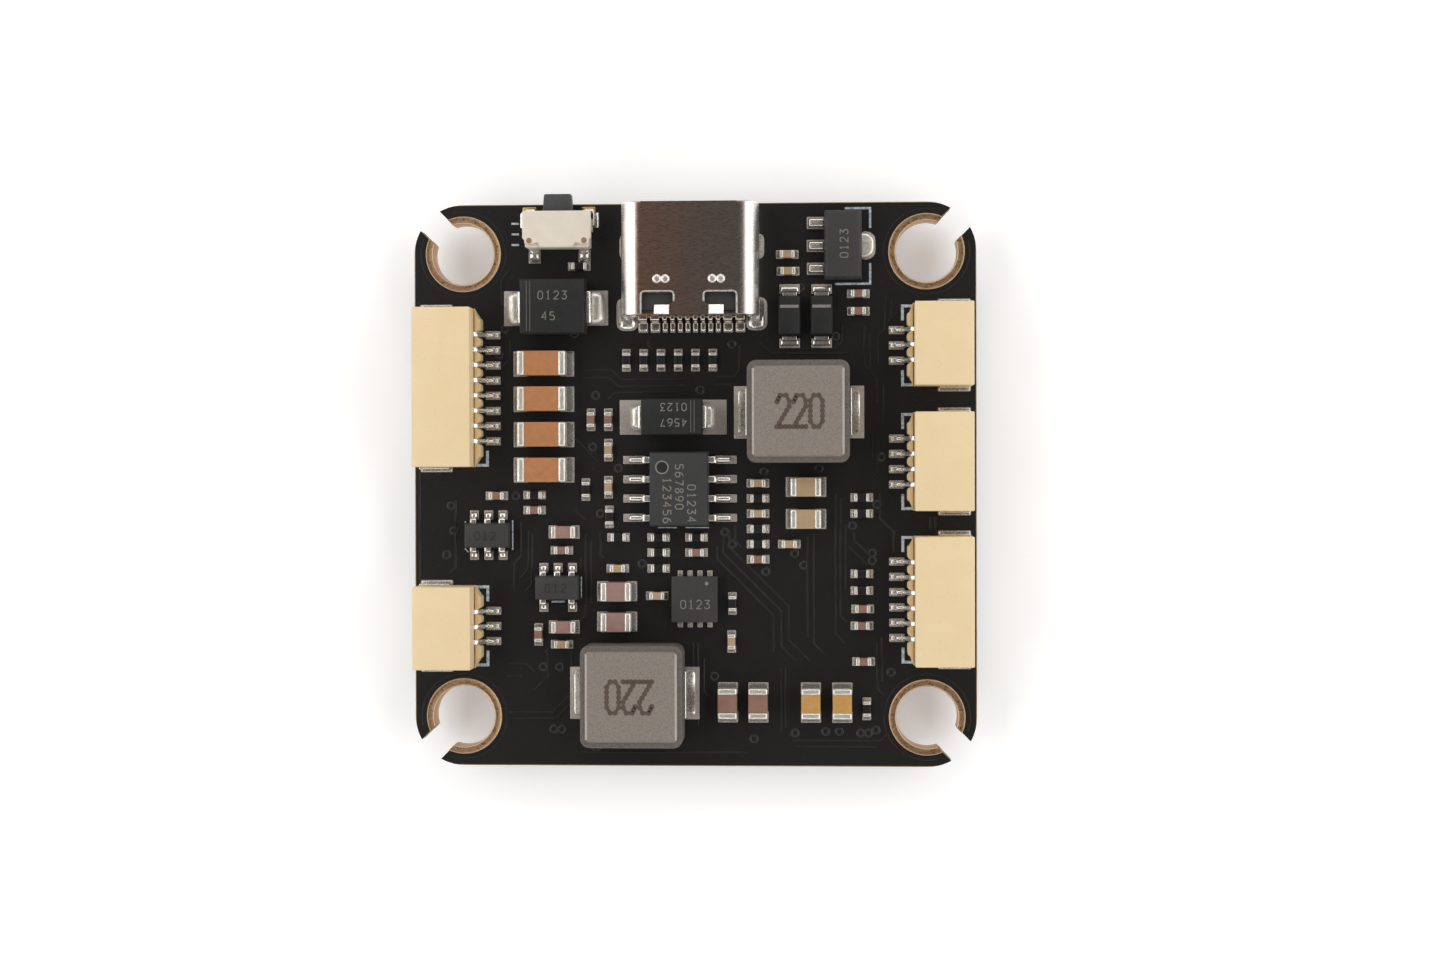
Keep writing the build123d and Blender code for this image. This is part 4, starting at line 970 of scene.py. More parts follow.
# Wire sockets: side-entry housings moulded in cream nylon, each with a row of stitched pins that
# come out over a notched ledge, and a folded solder tab at either end.
cream = Finish("cream_nylon", Roughness=0.46, Subsurface_Weight=0.1,
               Subsurface_Radius=(0.0008, 0.0005, 0.0003))
cream_clouds = cream.noise(0.5, 3.0)
cream_specks = cream.fade(cream.noise(7.0, 3.0), 0.62, 0.76)
cream_base = cream.mix(cream_clouds, tint(232, 206, 160), tint(240, 217, 176))
cream.set(Base_Color=cream.mix(cream_specks * 0.45, cream_base, tint(204, 172, 122)))
cream.set(Roughness=cream.fade(cream.noise(3.0, 2.0), 0.3, 0.7, 0.4, 0.52))
cream.bump(cream.noise(9.0, 3.0), 0.012)

# Darker, yellower cream for the notched ledge: painted shade standing in for the shadow the taller block
# casts on it.
shaded_ledge_cream = Finish("cream_nylon_ledge_painted_shade", Roughness=0.55)
ledge_shade_clouds = shaded_ledge_cream.noise(3.0, 3.0)
shaded_ledge_cream.set(Base_Color=shaded_ledge_cream.mix(ledge_shade_clouds, tint(214, 188, 142), tint(228, 204, 160)))
shaded_ledge_cream.bump(ledge_shade_clouds, 0.012)

for socket_name in socket_names:
    low, high = (corner * 1000 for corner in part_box(f"{socket_name}_housing"))
    side = 1 if low.x > 0 else -1
    face_x, back_x = (high.x, low.x) if side > 0 else (low.x, high.x)
    block_x = face_x - side * 3.8
    wall, edge = 0.45, 0.07
    mouth_depth = 2.9
    ledge_height = 1.3

    def section(x, inset, radius):
        plan = outline(low.y + inset, low.z + inset, high.y - inset, high.z - inset, radius)
        return [(x, y, z) for y, z in plan]

    housing = Shape()
    housing.loft([
        section(block_x, edge, 0.05), section(block_x + side * 0.02, edge * 0.3, 0.09),
        section(block_x + side * edge, 0, 0.1),
        section(face_x - side * edge, 0, 0.1), section(face_x - side * 0.02, edge * 0.3, 0.09),
        section(face_x, edge, 0.05), section(face_x, wall - 0.1, 0.1),
        section(face_x - side * 0.1, wall, 0.12),
        section(face_x - side * mouth_depth, wall, 0.12)])
    pins = Shape()
    pin_boxes = sorted(solids(f"{socket_name}_pins"), key=lambda box: box[0].y)
    pin_places = [(pin_low.y + pin_high.y) / 2 for pin_low, pin_high in pin_boxes]
    notch_half = 0.25
    starts = [low.y] + [y + notch_half for y in pin_places]
    ends = [y - notch_half for y in pin_places] + [high.y]
    for number, (tooth_start, tooth_end) in enumerate(zip(starts, ends)):
        first_tooth, last_tooth = number == 0, number == len(starts) - 1
        back_start = tooth_start + (0.62 if first_tooth else 0.0)
        back_end = tooth_end - (0.62 if last_tooth else 0.0)
        inner_start = tooth_start - (0.0 if first_tooth else 0.2)
        inner_end = tooth_end + (0.0 if last_tooth else 0.2)
        flare_start = 0 if first_tooth else 0.04
        flare_end = 0 if last_tooth else 0.04
        plan = [(block_x + side * 0.05, inner_start), (back_x + side * 0.12, back_start - flare_start),
                (back_x + side * 0.03, back_start + 0.05), (back_x, back_start + 0.13),
                (back_x, back_end - 0.13), (back_x + side * 0.03, back_end - 0.05),
                (back_x + side * 0.12, back_end + flare_end), (block_x + side * 0.05, inner_end)]
        middle = Vector((block_x, (back_start + back_end) / 2))
        rings = []
        for height, shrink, seam in ((0.0, 0.0, 0.0), (ledge_height - 0.4, 0.0, 0.0),
                                     (ledge_height - 0.3, 0.0, 0.11),
                                     (ledge_height - 0.03, 0.05, 0.12), (ledge_height, 0.12, 0.16)):
            ring = [tuple(Vector(p) + (middle - Vector(p)) * shrink * 0.6) + (low.z + height,) for p in plan]
            for end in (0, -1):
                ring[end] = (ring[end][0] - side * seam, *ring[end][1:])
            rings.append(ring)
        # The ledge teeth take the darker cream that paints shade on them.
        housing.loft(rings, 1)
    housing.make(f"{socket_name}_case", "cream_plastic", [cream, shaded_ledge_cream], [f"{socket_name}_housing"])

    for pin_low, pin_high in pin_boxes:
        y = (pin_low.y + pin_high.y) / 2
        foot_x = pin_low.x if side > 0 else pin_high.x
        inner_x = pin_high.x if side > 0 else pin_low.x
        pin_z = pin_high.z - 0.11
        along = Vector((-side, 0, 0))
        path = [Vector((inner_x, y, pin_z)), Vector((block_x - side * 0.1, y, pin_z)),
                Vector((back_x - side * 0.3, y, board_top + 0.12)), Vector((foot_x, y, board_top + 0.12))]
        pins.sweep(bend(path, 0.25), Vector((0, 1, 0)), outline(-0.11, -0.15, 0.11, 0.15, 0.05, 2))
        pad(pins, foot_x - side * 0.02, y - 0.27, foot_x + side * 1.0, y + 0.27, 1, 0.06)
        mound(pins, foot_x + side * 0.04, y - 0.22, foot_x + side * 0.4, y + 0.22, 0.3, 2, 0.12, None, 1, 0.5)
        mound(pins, foot_x + side * 0.38, y - 0.18, foot_x + side * 0.92, y + 0.18, 0.36, 0, 0.16, None, 1,
              0.5)
    pins.make(f"{socket_name}_contact_row", "tinned_metal", [solder, tinned_pad, end_tin],
              [f"{socket_name}_pins"])

    tabs = Shape()
    for tab_low, tab_high in solids(f"{socket_name}_tabs"):
        way = 1 if tab_low.y > low.y + 1 else -1
        wall_y = high.y if way > 0 else low.y
        y0, y1 = sorted((wall_y, wall_y + way * 0.14))
        strip = (tab_low.x, y0, board_top), (tab_high.x, y1, 0)
        tabs.stack(*strip, rounded_levels(tab_high.z - tab_low.z, 0.06), 0.05)
        y0, y1 = sorted((wall_y, wall_y + way * 0.3))
        foot = (tab_low.x, y0, board_top), (tab_high.x, y1, 0)
        tabs.stack(*foot, rounded_levels(0.15, 0.05), 0.06)
        pad(tabs, tab_low.x - 0.08, wall_y - way * 0.5, tab_high.x + 0.08, wall_y + way * 0.34, 1, 0.08)
        y0, y1 = sorted((wall_y, wall_y + way * 0.28))
        wetting(tabs, (tab_low.x + 0.1, y0), (tab_high.x - 0.1, y1), (0, way), 0.5, 0, board_top)
    tabs.make(f"{socket_name}_solder_tabs", "tinned_metal", [solder, tinned_pad], [f"{socket_name}_tabs"])


# Power inductors: pressed iron powder moulded round a coil, with a raised panel on top that is
# marked with a plain dotted number, and two wide copper tails folded under and soldered.
iron_powder = Finish("pressed_iron_powder", Roughness=0.6, Specular_IOR_Level=0.4)
powder = iron_powder.grains(17.0, "Color")
powder_value = iron_powder.add("ShaderNodeSeparateXYZ", {}, {"Vector": powder}, "X")
worn = iron_powder.noise(0.8, 4.0)
iron_grey = iron_powder.mix(powder_value, tint(118, 109, 102), tint(150, 140, 131))
iron_grey = iron_powder.mix(worn * 0.5, iron_grey, tint(134, 124, 115))
core_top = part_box("first_inductor_core")[1].z * 1000
core_height = iron_powder.add("ShaderNodeSeparateXYZ", {}, {"Vector": iron_powder.place}, "Z")
on_panel = iron_powder.fade(core_height, core_top - 0.19, core_top - 0.06)
flange_grey = iron_powder.mix(powder_value, tint(88, 81, 76), tint(116, 108, 101))
iron_powder.set(Base_Color=iron_powder.mix(on_panel, flange_grey, iron_grey))
iron_powder.set(Metallic=iron_powder.fade(powder_value, 0.7, 0.9, 0.0, 0.3))
iron_powder.bump(powder_value, 0.012)
iron_powder.bump(iron_powder.noise(5.0, 3.0), 0.02)

# Pale powder for two strips along the panel's left and right bevels: a painted highlight where the side
# softboxes light them.
highlight_powder = Finish("painted_highlight_iron_powder", Roughness=0.45, Metallic=0.2)
highlight_grain = highlight_powder.noise(9.0, 3.0)
highlight_powder.set(Base_Color=highlight_powder.mix(highlight_grain, tint(158, 150, 142), tint(206, 200, 192)))
highlight_powder.bump(highlight_grain, 0.02)

dark_ink = Finish("dark_marking_ink", Roughness=0.55)
dark_ink.set(Base_Color=dark_ink.mix(dark_ink.noise(8.0, 2.0), tint(66, 53, 45), tint(98, 82, 71)))
dark_ink.bump(dark_ink.noise(10.0, 2.0), 0.01)

digit_strokes = {
    "0": [[(0.3, 0), (0.7, 0), (1, 0.3), (1, 1.4), (0.7, 1.7), (0.3, 1.7), (0, 1.4), (0, 0.3), (0.3, 0)]],
    "1": [[(0.2, 1.4), (0.5, 1.7), (0.5, 0)], [(0.2, 0), (0.8, 0)]],
    "2": [[(0, 1.35), (0.25, 1.7), (0.75, 1.7), (1, 1.4), (1, 1.1), (0, 0), (1, 0)]],
    "3": [[(0, 1.7), (1, 1.7), (0.45, 1.0), (0.8, 0.95), (1, 0.65), (1, 0.3), (0.75, 0), (0.25, 0),
           (0, 0.3)]],
    "4": [[(0.75, 0), (0.75, 1.7), (0, 0.55), (1, 0.55)]],
    "5": [[(0.95, 1.7), (0.1, 1.7), (0.05, 1.0), (0.7, 1.0), (1, 0.7), (1, 0.3), (0.7, 0), (0, 0.1)]],
    "6": [[(0.8, 1.7), (0.3, 1.5), (0, 0.9), (0, 0.3), (0.3, 0), (0.7, 0), (1, 0.3), (1, 0.7), (0.7, 1),
           (0.05, 0.9)]],
    "7": [[(0, 1.7), (1, 1.7), (0.35, 0)]],
    "8": [[(0.5, 0.95), (0.1, 1.2), (0.15, 1.6), (0.5, 1.7), (0.85, 1.6), (0.9, 1.2), (0.5, 0.95),
           (0.05, 0.6),
           (0.1, 0.15), (0.5, 0), (0.9, 0.15), (0.95, 0.6), (0.5, 0.95)]],
    "9": [[(0.2, 0), (0.7, 0.2), (1, 0.8), (1, 1.4), (0.7, 1.7), (0.3, 1.7), (0, 1.4), (0, 1.0), (0.3, 0.7),
           (0.95, 0.8)]],
}


def write_number(shape, text, corner, reading, digit_width, pen, spacing, finish, dotted=0.0, height=0.012,
                 tall=1.0):
    """Writes plain digits flat on a surface, as strokes or as a row of dots. Reading is their direction."""
    across = Vector((*reading, 0)).normalized()
    upright = Vector((-across.y, across.x, 0))
    start = Vector(corner)
    dots = []
    for number, digit in enumerate(text):
        for stroke in digit_strokes[digit]:
            path = []
            for x, y in stroke:
                along_line = across * (number * spacing + x * digit_width)
                path.append(start + along_line + upright * (y * digit_width * tall))
            shape.sweep(path, up_axis, ridge(pen, height, height * 0.5), finish)
            if dotted:
                for a, b in zip(path, path[1:]):
                    count = max(1, round((b - a).length / dotted))
                    for i in range(count + 1):
                        dot = a + (b - a) * (i / count)
                        if any((dot - other).length < dotted * 0.6 for other in dots):
                            continue
                        dots.append(dot)
                        ring = circle(dot.x, dot.y, dot.z - 0.01, pen * 0.82, 8)
                        lid = circle(dot.x, dot.y, dot.z + height * 1.1, pen * 0.76, 8)
                        shape.loft([ring, lid], finish)


for inductor_name, turned in (("first_inductor", 1), ("second_inductor", -1)):
    low, high = (corner * 1000 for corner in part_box(f"{inductor_name}_core"))
    core = Shape()
    rise = high.z - low.z
    levels = [(0.0, 0.05), (0.06, 0.0), (rise - 0.3, 0.0), (rise - 0.22, 0.04), (rise - 0.2, 0.12),
              (rise - 0.2, 0.3), (rise - 0.17, 0.36), (rise - 0.1, 0.38), (rise - 0.03, 0.44),
              (rise - 0.005, 0.5),
              (rise, 0.6)]
    core.stack(low, high, levels, 0.6, 1, 0, 6)
    middle = (low + high) / 2
    number_corner = (middle.x + turned * (0.1 - 1.46), middle.y - turned * 1.0, high.z)
    write_number(core, "220", number_corner, (turned, 0), 0.78, 0.22, 1.07, 1, 0.3, 0.012, 1.52)
    # Two pale strips on the left and right panel bevels: a painted highlight.
    for edge_x in (low.x + 0.42, high.x - 0.42):
        highlight_strip = [Vector((edge_x, low.y + 0.55, high.z - 0.05)),
                     Vector((edge_x, high.y - 0.55, high.z - 0.05))]
        core.sweep(highlight_strip, up_axis, [(-0.09, -0.08), (-0.06, 0.04), (0.06, 0.04), (0.09, -0.08)], 2)
    core.make(f"{inductor_name}_block", "iron_powder", [iron_powder, dark_ink, highlight_powder],
              [f"{inductor_name}_core"])
    tails = Shape()
    for tail_low, tail_high in solids(f"{inductor_name}_terminals"):
        side = 1 if (tail_low.x + tail_high.x) / 2 > middle.x else -1
        wall_x = high.x if side > 0 else low.x
        x0, x1 = sorted((wall_x, wall_x + side * 0.15))
        strip = (x0, tail_low.y, board_top), (x1, tail_high.y, 0)
        tails.stack(*strip, rounded_levels(tail_high.z - tail_low.z, 0.07), 0.06)
        pad(tails, wall_x - side * 1.3, tail_low.y - 0.18, wall_x + side * 0.95, tail_high.y + 0.18, 1, 0.05)
        x0, x1 = sorted((wall_x, wall_x + side * 0.78))
        heap = (x0, tail_low.y - 0.02), (x1, tail_high.y + 0.02)
        wetting(tails, *heap, (side, 0), 1.1, 0, board_top, 1, 0.7, 1.7, 8)
    tails.make(f"{inductor_name}_tails", "tinned_metal", [solder, tinned_pad], [f"{inductor_name}_terminals"])


# Moulded diodes: black epoxy bodies with a paler band at the cathode end, on flat strips that leave
# at mid-height and fold down. Solder climbs the strips in a round-ended heap.
def epoxy_finish(name, dark, light, rough=0.55):
    """Moulded epoxy: fine glass filler that shows as a grain, and a dull moulded skin."""
    finish = Finish(name, Specular_IOR_Level=0.3)
    filler = finish.noise(18.0, 4.0)
    finish.set(Base_Color=finish.mix(filler, tint(*dark), tint(*light)))
    finish.set(Roughness=finish.fade(finish.noise(2.0, 3.0), 0.3, 0.7, rough - 0.08, rough + 0.08))
    finish.bump(filler, 0.012)
    return finish.bump(finish.noise(5.0, 2.0), 0.01)


diode_epoxy = epoxy_finish("diode_epoxy", (25, 25, 25), (40, 40, 40))
band_ink = Finish("cathode_band_ink", Roughness=0.55)
band_ink.set(Base_Color=band_ink.mix(band_ink.noise(6.0, 3.0), tint(66, 60, 55), tint(92, 84, 76)))
band_ink.bump(band_ink.noise(12.0, 2.0), 0.008)
faint_ink = Finish("laser_mark", Roughness=0.62)
faint_ink.set(Base_Color=faint_ink.mix(faint_ink.noise(7.0, 3.0), tint(98, 95, 90), tint(142, 138, 130)))
faint_ink.bump(faint_ink.noise(12.0, 2.0), 0.008)


def moulding(shape, low, high, edge, draft=0.06, corner=0.06, up=1, finish=0, parting=0.5):
    """A moulded block: its sides lean in above and below the parting line."""
    rise = high.z - low.z
    levels = [(0.0, draft), (rise * parting - 0.02, 0.005), (rise * parting, -0.01),
              (rise * parting + 0.02, 0.005), (rise - edge, draft), (rise - edge * 0.35, draft + edge * 0.3),
              (rise, draft + edge)]
    shape.stack(low, high, levels, corner, up, finish)


folded_diodes = [("surge_diode", -1, 0.78, 0.13, 0.9), ("rectifier_diode", 1, 0.95, 0.42, 0.62)]
for diode_name, band_side, pad_reach, pad_extra, heap_reach in folded_diodes:
    low, high = (corner * 1000 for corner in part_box(f"{diode_name}_body"))
    body = Shape()
    moulding(body, low, high, 0.1, 0.04, 0.05)
    band_x = low.x + 0.6 if band_side < 0 else high.x - 0.6
    for offset in (-0.11, 0.11):
        draw_line(body, [(band_x + offset, low.y + 0.16), (band_x + offset, high.y - 0.16)], high.z, 0.08,
                  0.008, 1)
    digit = 0.3 if high.y - low.y > 3 else 0.28
    if band_side < 0:
        write_number(body, "0123", (low.x + 1.25, high.y - 1.35, high.z), (1, 0), digit, 0.06, 0.52, 2, 0,
                     0.006)
        write_number(body, "45", (low.x + 1.5, low.y + 0.9, high.z), (1, 0), digit, 0.06, 0.52, 2, 0, 0.006)
    else:
        write_number(body, "0123", (high.x - 1.0, high.y - 0.35, high.z), (-1, 0), digit, 0.06, 0.46, 2, 0,
                     0.006)
        write_number(body, "4567", (high.x - 1.0, high.y - 1.35, high.z), (-1, 0), digit, 0.06, 0.46, 2, 0,
                     0.006)
    body.make(f"{diode_name}_block", "black_epoxy", [diode_epoxy, band_ink, faint_ink],
              [f"{diode_name}_body"])
    strips = Shape()
    for strip_low, strip_high in solids(f"{diode_name}_terminals"):
        side = 1 if (strip_low.x + strip_high.x) > (low.x + high.x) else -1
        wall_x = high.x if side > 0 else low.x
        thick = 0.2
        half = (strip_high.y - strip_low.y) / 2
        middle_y = (strip_low.y + strip_high.y) / 2
        exit_z = strip_high.z - board_top - thick / 2
        path = [Vector((wall_x - side * 0.1, middle_y, board_top + exit_z)),
                Vector((wall_x + side * 0.22, middle_y, board_top + exit_z)),
                Vector((wall_x + side * 0.22, middle_y, board_top + 0.12)),
                Vector((wall_x - side * 0.9, middle_y, board_top + 0.12))]
        strips.sweep(bend(path, 0.24, 6), Vector((0, 1, 0)),
                     outline(-thick / 2, -half, thick / 2, half, 0.05, 2))
        pad(strips, wall_x - side * 0.9, middle_y - half - pad_extra,
            wall_x + side * (0.25 + pad_reach * 1.35),
            middle_y + half + pad_extra, 1, 0.05)
        x0, x1 = sorted((wall_x, wall_x + side * (0.2 + heap_reach)))
        heap = (x0, middle_y - half - 0.12, board_top), (x1, middle_y + half + 0.12, 0)
        round_side = (half, half, 0.05, 0.05) if side > 0 else (0.05, 0.05, half, half)
        deepest = 0.47 * (0.2 + heap_reach)
        dome = [(0.5 * sin(radians(a)), deepest * (1 - cos(radians(a)))) for a in range(0, 91, 15)]
        strips.stack(*heap, dome, round_side, 1, 2, 8)
    strips.make(f"{diode_name}_strips", "tinned_metal", [solder, tinned_pad, end_tin],
                [f"{diode_name}_terminals"])

small_diodes = Shape()
small_diode_leads = Shape()
for low, high in solids("signal_diode_bodies"):
    moulding(small_diodes, low, high, 0.08, 0.05, 0.05)
    draw_line(small_diodes, [(low.x + 0.12, high.y - 0.72), (high.x - 0.12, high.y - 0.72)], high.z, 0.2,
              0.008, 2)
    for way, wall_y in ((-1, low.y), (1, high.y)):
        for lead_low, lead_high in solids("signal_diode_terminals"):
            if lead_low.x > low.x and lead_high.x < high.x and (lead_low.y - wall_y) * way > -0.3:
                if abs((lead_low.y + lead_high.y) / 2 - wall_y) < 0.6:
                    levels = rounded_levels(lead_high.z - lead_low.z, 0.05)
                    small_diode_leads.stack(lead_low, lead_high, levels, 0.06)
                    lead_joint(small_diode_leads, lead_low, lead_high, (0, way), 0.3, 0.2, 0.22, board_top)
small_diodes.make("signal_diode_blocks", "black_epoxy", [diode_epoxy, band_ink, faint_ink],
                  ["signal_diode_bodies"])
small_diode_leads.make("signal_diode_leads", "tinned_metal", [solder, tinned_pad], ["signal_diode_terminals"])


# Leaded chips: silicon moulded in dark epoxy with tinned leads bent down to their pads. The first
# three are on the upper face; the processor and the overlay chip hang under the board.
chip_epoxy = epoxy_finish("chip_epoxy", (48, 48, 48), (62, 62, 61), 0.6)
small_chip_epoxy = epoxy_finish("small_chip_epoxy", (48, 47, 46), (66, 65, 63), 0.5)
leaded_chips = [
    ("buck_converter", 0.1, 0.2, 0.75, 0.06, 1, chip_epoxy),
    ("load_switch", 0.08, 0.15, 0.22, 0.1, 1, small_chip_epoxy),
    ("logic_regulator", 0.08, 0.15, 0.22, 0.1, 1, small_chip_epoxy),
    ("processor", 0.1, 0.14, 0.3, 0.03, -1, chip_epoxy),
    ("overlay_chip", 0.08, 0.14, 0.3, 0.04, -1, chip_epoxy),
]
for chip_name, edge, thickness, beyond, extra, up, epoxy in leaded_chips:
    low, high = (corner * 1000 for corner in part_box(f"{chip_name}_body"))
    body = Shape()
    moulding(body, low, high, edge, 0.07, 0.06, up, 0, 0.45)
    face_z = board_top if up > 0 else board_low.z
    top_z = high.z if up > 0 else low.z
    if chip_name == "buck_converter":
        dimple = (low.x + 0.88, high.y - 1.04)
        rim = [(-0.05, -0.002), (-0.03, 0.008), (0.03, 0.008), (0.05, -0.002)]
        body.sweep(circle(*dimple, top_z, 0.4, 28), up_axis, rim, 2, closed=True)
        disc = [circle(*dimple, top_z - 0.01, 0.37, 28), circle(*dimple, top_z + 0.003, 0.36, 28)]
        body.loft(disc, 1)
        for row, text in enumerate(("01234", "567890", "123456")):
            start_y = high.y - (2.2 if row == 0 else 0.85 if row == 1 else 1.75)
            write_number(body, text, (high.x - 1.35 - row * 0.8, start_y, top_z), (0, -1), 0.3, 0.07, 0.52, 2,
                         0, 0.006)
    elif up > 0:
        write_number(body, "012", (low.x + 0.75, low.y + 0.55, top_z), (1, 0), 0.3, 0.06, 0.52, 1, 0, 0.006)
    if up < 0:
        dot_x, dot_y = low.x + 0.8, high.y - 0.8
        body.loft([circle(dot_x, dot_y, top_z + 0.01, 0.3, 24),
                   circle(dot_x, dot_y, top_z - 0.004, 0.28, 24)], 1)
    body.make(f"{chip_name}_block", "black_epoxy", [epoxy, diode_epoxy, faint_ink], [f"{chip_name}_body"])
    leads = Shape()
    for lead_low, lead_high in solids(f"{chip_name}_leads"):
        middle = (lead_low + lead_high) / 2
        if middle.x > high.x or middle.x < low.x:
            outward = (1, 0) if middle.x > high.x else (-1, 0)
        else:
            outward = (0, 1) if middle.y > high.y else (0, -1)
        gull_lead(leads, lead_low, lead_high, outward, thickness, 0, up)
        heap = 0.2 + thickness if up > 0 else 0.18
        lead_joint(leads, lead_low, lead_high, outward, beyond, extra, heap, face_z, up)
    leads.make(f"{chip_name}_lead_row", "tinned_metal", [solder, tinned_pad], [f"{chip_name}_leads"])


# Main regulator: a power package with three flat leads on one side and a wide heat tab, soldered
# down on a large pad, on the other.
low, high = (corner * 1000 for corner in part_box("main_regulator_body"))
regulator = Shape()
moulding(regulator, low, high, 0.12, 0.08, 0.08, 1, 0, 0.3)
write_number(regulator, "0123", (low.x + 1.55, low.y + 1.35, high.z), (0, 1), 0.3, 0.06, 0.5, 1, 0, 0.006)
regulator.make("main_regulator_block", "black_epoxy", [small_chip_epoxy, faint_ink], ["main_regulator_body"])
regulator_leads = Shape()
for lead_low, lead_high in solids("main_regulator_leads"):
    if lead_high.x <= low.x + 0.1:
        pad(regulator_leads, lead_low.x - 0.15, lead_low.y - 0.15, lead_high.x + 0.1, lead_high.y + 0.15, 1)
        regulator_leads.stack(lead_low, lead_high, rounded_levels(lead_high.z - lead_low.z, 0.1), 0.08)
        mound(regulator_leads, lead_low.x - 0.08, lead_low.y - 0.08, lead_high.x, lead_high.y + 0.08, 0.42, 1,
              0.12,
              None, 1, 0.5)
    else:
        middle_y = (lead_low.y + lead_high.y) / 2
        pad(regulator_leads, lead_low.x - 0.4, middle_y - 0.95, lead_high.x + 0.08, middle_y + 0.95, 1, 0.7)
        tab = (lead_low.x - 0.5, lead_low.y, board_top), (lead_high.x, lead_high.y, board_top)
        regulator_leads.stack(*tab, rounded_levels(0.4, 0.2), (0.8, 0.8, 0.05, 0.05), 1, 2, 6)
        wetting(regulator_leads, (lead_low.x, middle_y - 0.85), (lead_high.x + 0.06, middle_y + 0.85), (1, 0),
                0.3, 1,
                board_top, 1, 0.8, 0.8)
regulator_leads.make("main_regulator_lead_row", "tinned_metal", [solder, tinned_pad, end_tin],
                     ["main_regulator_leads"])


# Leadless chips: the second converter on the upper face, and the sensors, the log memory and the
# two clock crystals below. Solder shows only as thin bright ends at their pads.
can_metal = Finish("can_metal", Metallic=1.0)
can_metal.set(Base_Color=can_metal.mix(can_metal.noise(2.0, 3.0), tint(196, 192, 184), tint(164, 160, 152)))
can_metal.set(Roughness=can_metal.fade(can_metal.noise(1.0, 4.0, 0.0, (2.0, 20.0, 2.0)), 0.3, 0.7, 0.24, 0.4))
can_metal.bump(can_metal.noise(9.0, 3.0), 0.008)
leadless_chips = [
    ("second_converter_body", small_chip_epoxy, 0.04, 1, "black_epoxy"),
    ("motion_sensor", chip_epoxy, 0.04, -1, "black_epoxy"),
    ("flash_memory", chip_epoxy, 0.05, -1, "black_epoxy"),
    ("barometer", can_metal, 0.08, -1, "can_metal"),
    ("crystals", can_metal, 0.12, -1, "can_metal"),
]
for node, finish, edge, up, slot_name in leadless_chips:
    block = Shape()
    for low, high in solids(node):
        block.stack(low, high, rounded_levels(high.z - low.z, edge, 0.02),
                    0.06 if finish is not can_metal else 0.3, up)
        outer_z = high.z if up > 0 else low.z
        spot_at = (low.x + 0.5, high.y - 0.5) if up < 0 else ((low.x + high.x) / 2 + 0.8, high.y - 0.45)
        radius = 0.13 if node != "barometer" else 0.2
        spot_foot = circle(*spot_at, outer_z - up * 0.01, radius, 16)
        block.loft([spot_foot, circle(*spot_at, outer_z + up * 0.004, radius * 0.9, 16)], 1)
        if up > 0:
            write_number(block, "0123", (low.x + 0.6, low.y + 0.9, outer_z), (1, 0), 0.32, 0.06, 0.52, 1, 0,
                         0.006)
    block.make(f"{node}_block", slot_name, [finish, faint_ink if finish is not can_metal else diode_epoxy],
               [node])
low, high = (corner * 1000 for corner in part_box("second_converter_body"))
converter_ends = Shape()
for pad_low, pad_high in solids("second_converter_pads"):
    if pad_high.x - pad_low.x > 1:
        converter_ends.stack(pad_low, pad_high, rounded_levels(0.05, 0.02), 0.05, 1, 1)
        continue
    way = 1 if pad_low.y > (low.y + high.y) / 2 else -1
    wall_y = high.y if way > 0 else low.y
    pad(converter_ends, pad_low.x - 0.03, wall_y - way * 0.45, pad_high.x + 0.03, wall_y + way * 0.38, 1)
    y0, y1 = sorted((wall_y, wall_y + way * 0.3))
    wetting(converter_ends, (pad_low.x, y0), (pad_high.x, y1), (0, way), 0.3, 0, board_top, 1, 0.1)
converter_ends.make("second_converter_joints", "tinned_metal", [solder, tinned_pad],
                    ["second_converter_pads"])


# Chip capacitors and resistors: ceramic bricks with tinned ends, dipped and fired, and resistors
# glazed black on top. Solder wets up each end from a pad a little longer than the part.
def ceramic(name, dark, light, rough=0.42):
    finish = Finish(name)
    cloud = finish.noise(2.2, 4.0)
    pores = finish.fade(finish.noise(12.0, 2.0), 0.62, 0.74)
    fired = finish.mix(cloud, tint(*dark), tint(*light))
    finish.set(Base_Color=finish.mix(pores * 0.35, fired, tuple(c * 0.6 for c in tint(*dark))))
    finish.set(Roughness=finish.fade(cloud, 0.3, 0.7, rough - 0.06, rough + 0.1))
    return finish.bump(finish.noise(13.0, 3.0), 0.014)


orange = ceramic("orange_ceramic", (164, 108, 66), (184, 128, 84))
tan = ceramic("tan_ceramic", (160, 134, 102), (178, 154, 124))
rose = ceramic("rose_ceramic", (138, 108, 98), (156, 126, 116))
amber = ceramic("amber_ceramic", (178, 132, 70), (198, 154, 92))
brown = ceramic("brown_ceramic", (126, 92, 78), (146, 112, 96))
black_glaze = Finish("resistor_glaze", Roughness=0.28)
black_glaze.set(Base_Color=black_glaze.mix(black_glaze.noise(5.0, 3.0), tint(24, 23, 23), tint(42, 40, 40)))
black_glaze.bump(black_glaze.noise(8.0, 3.0), 0.01)


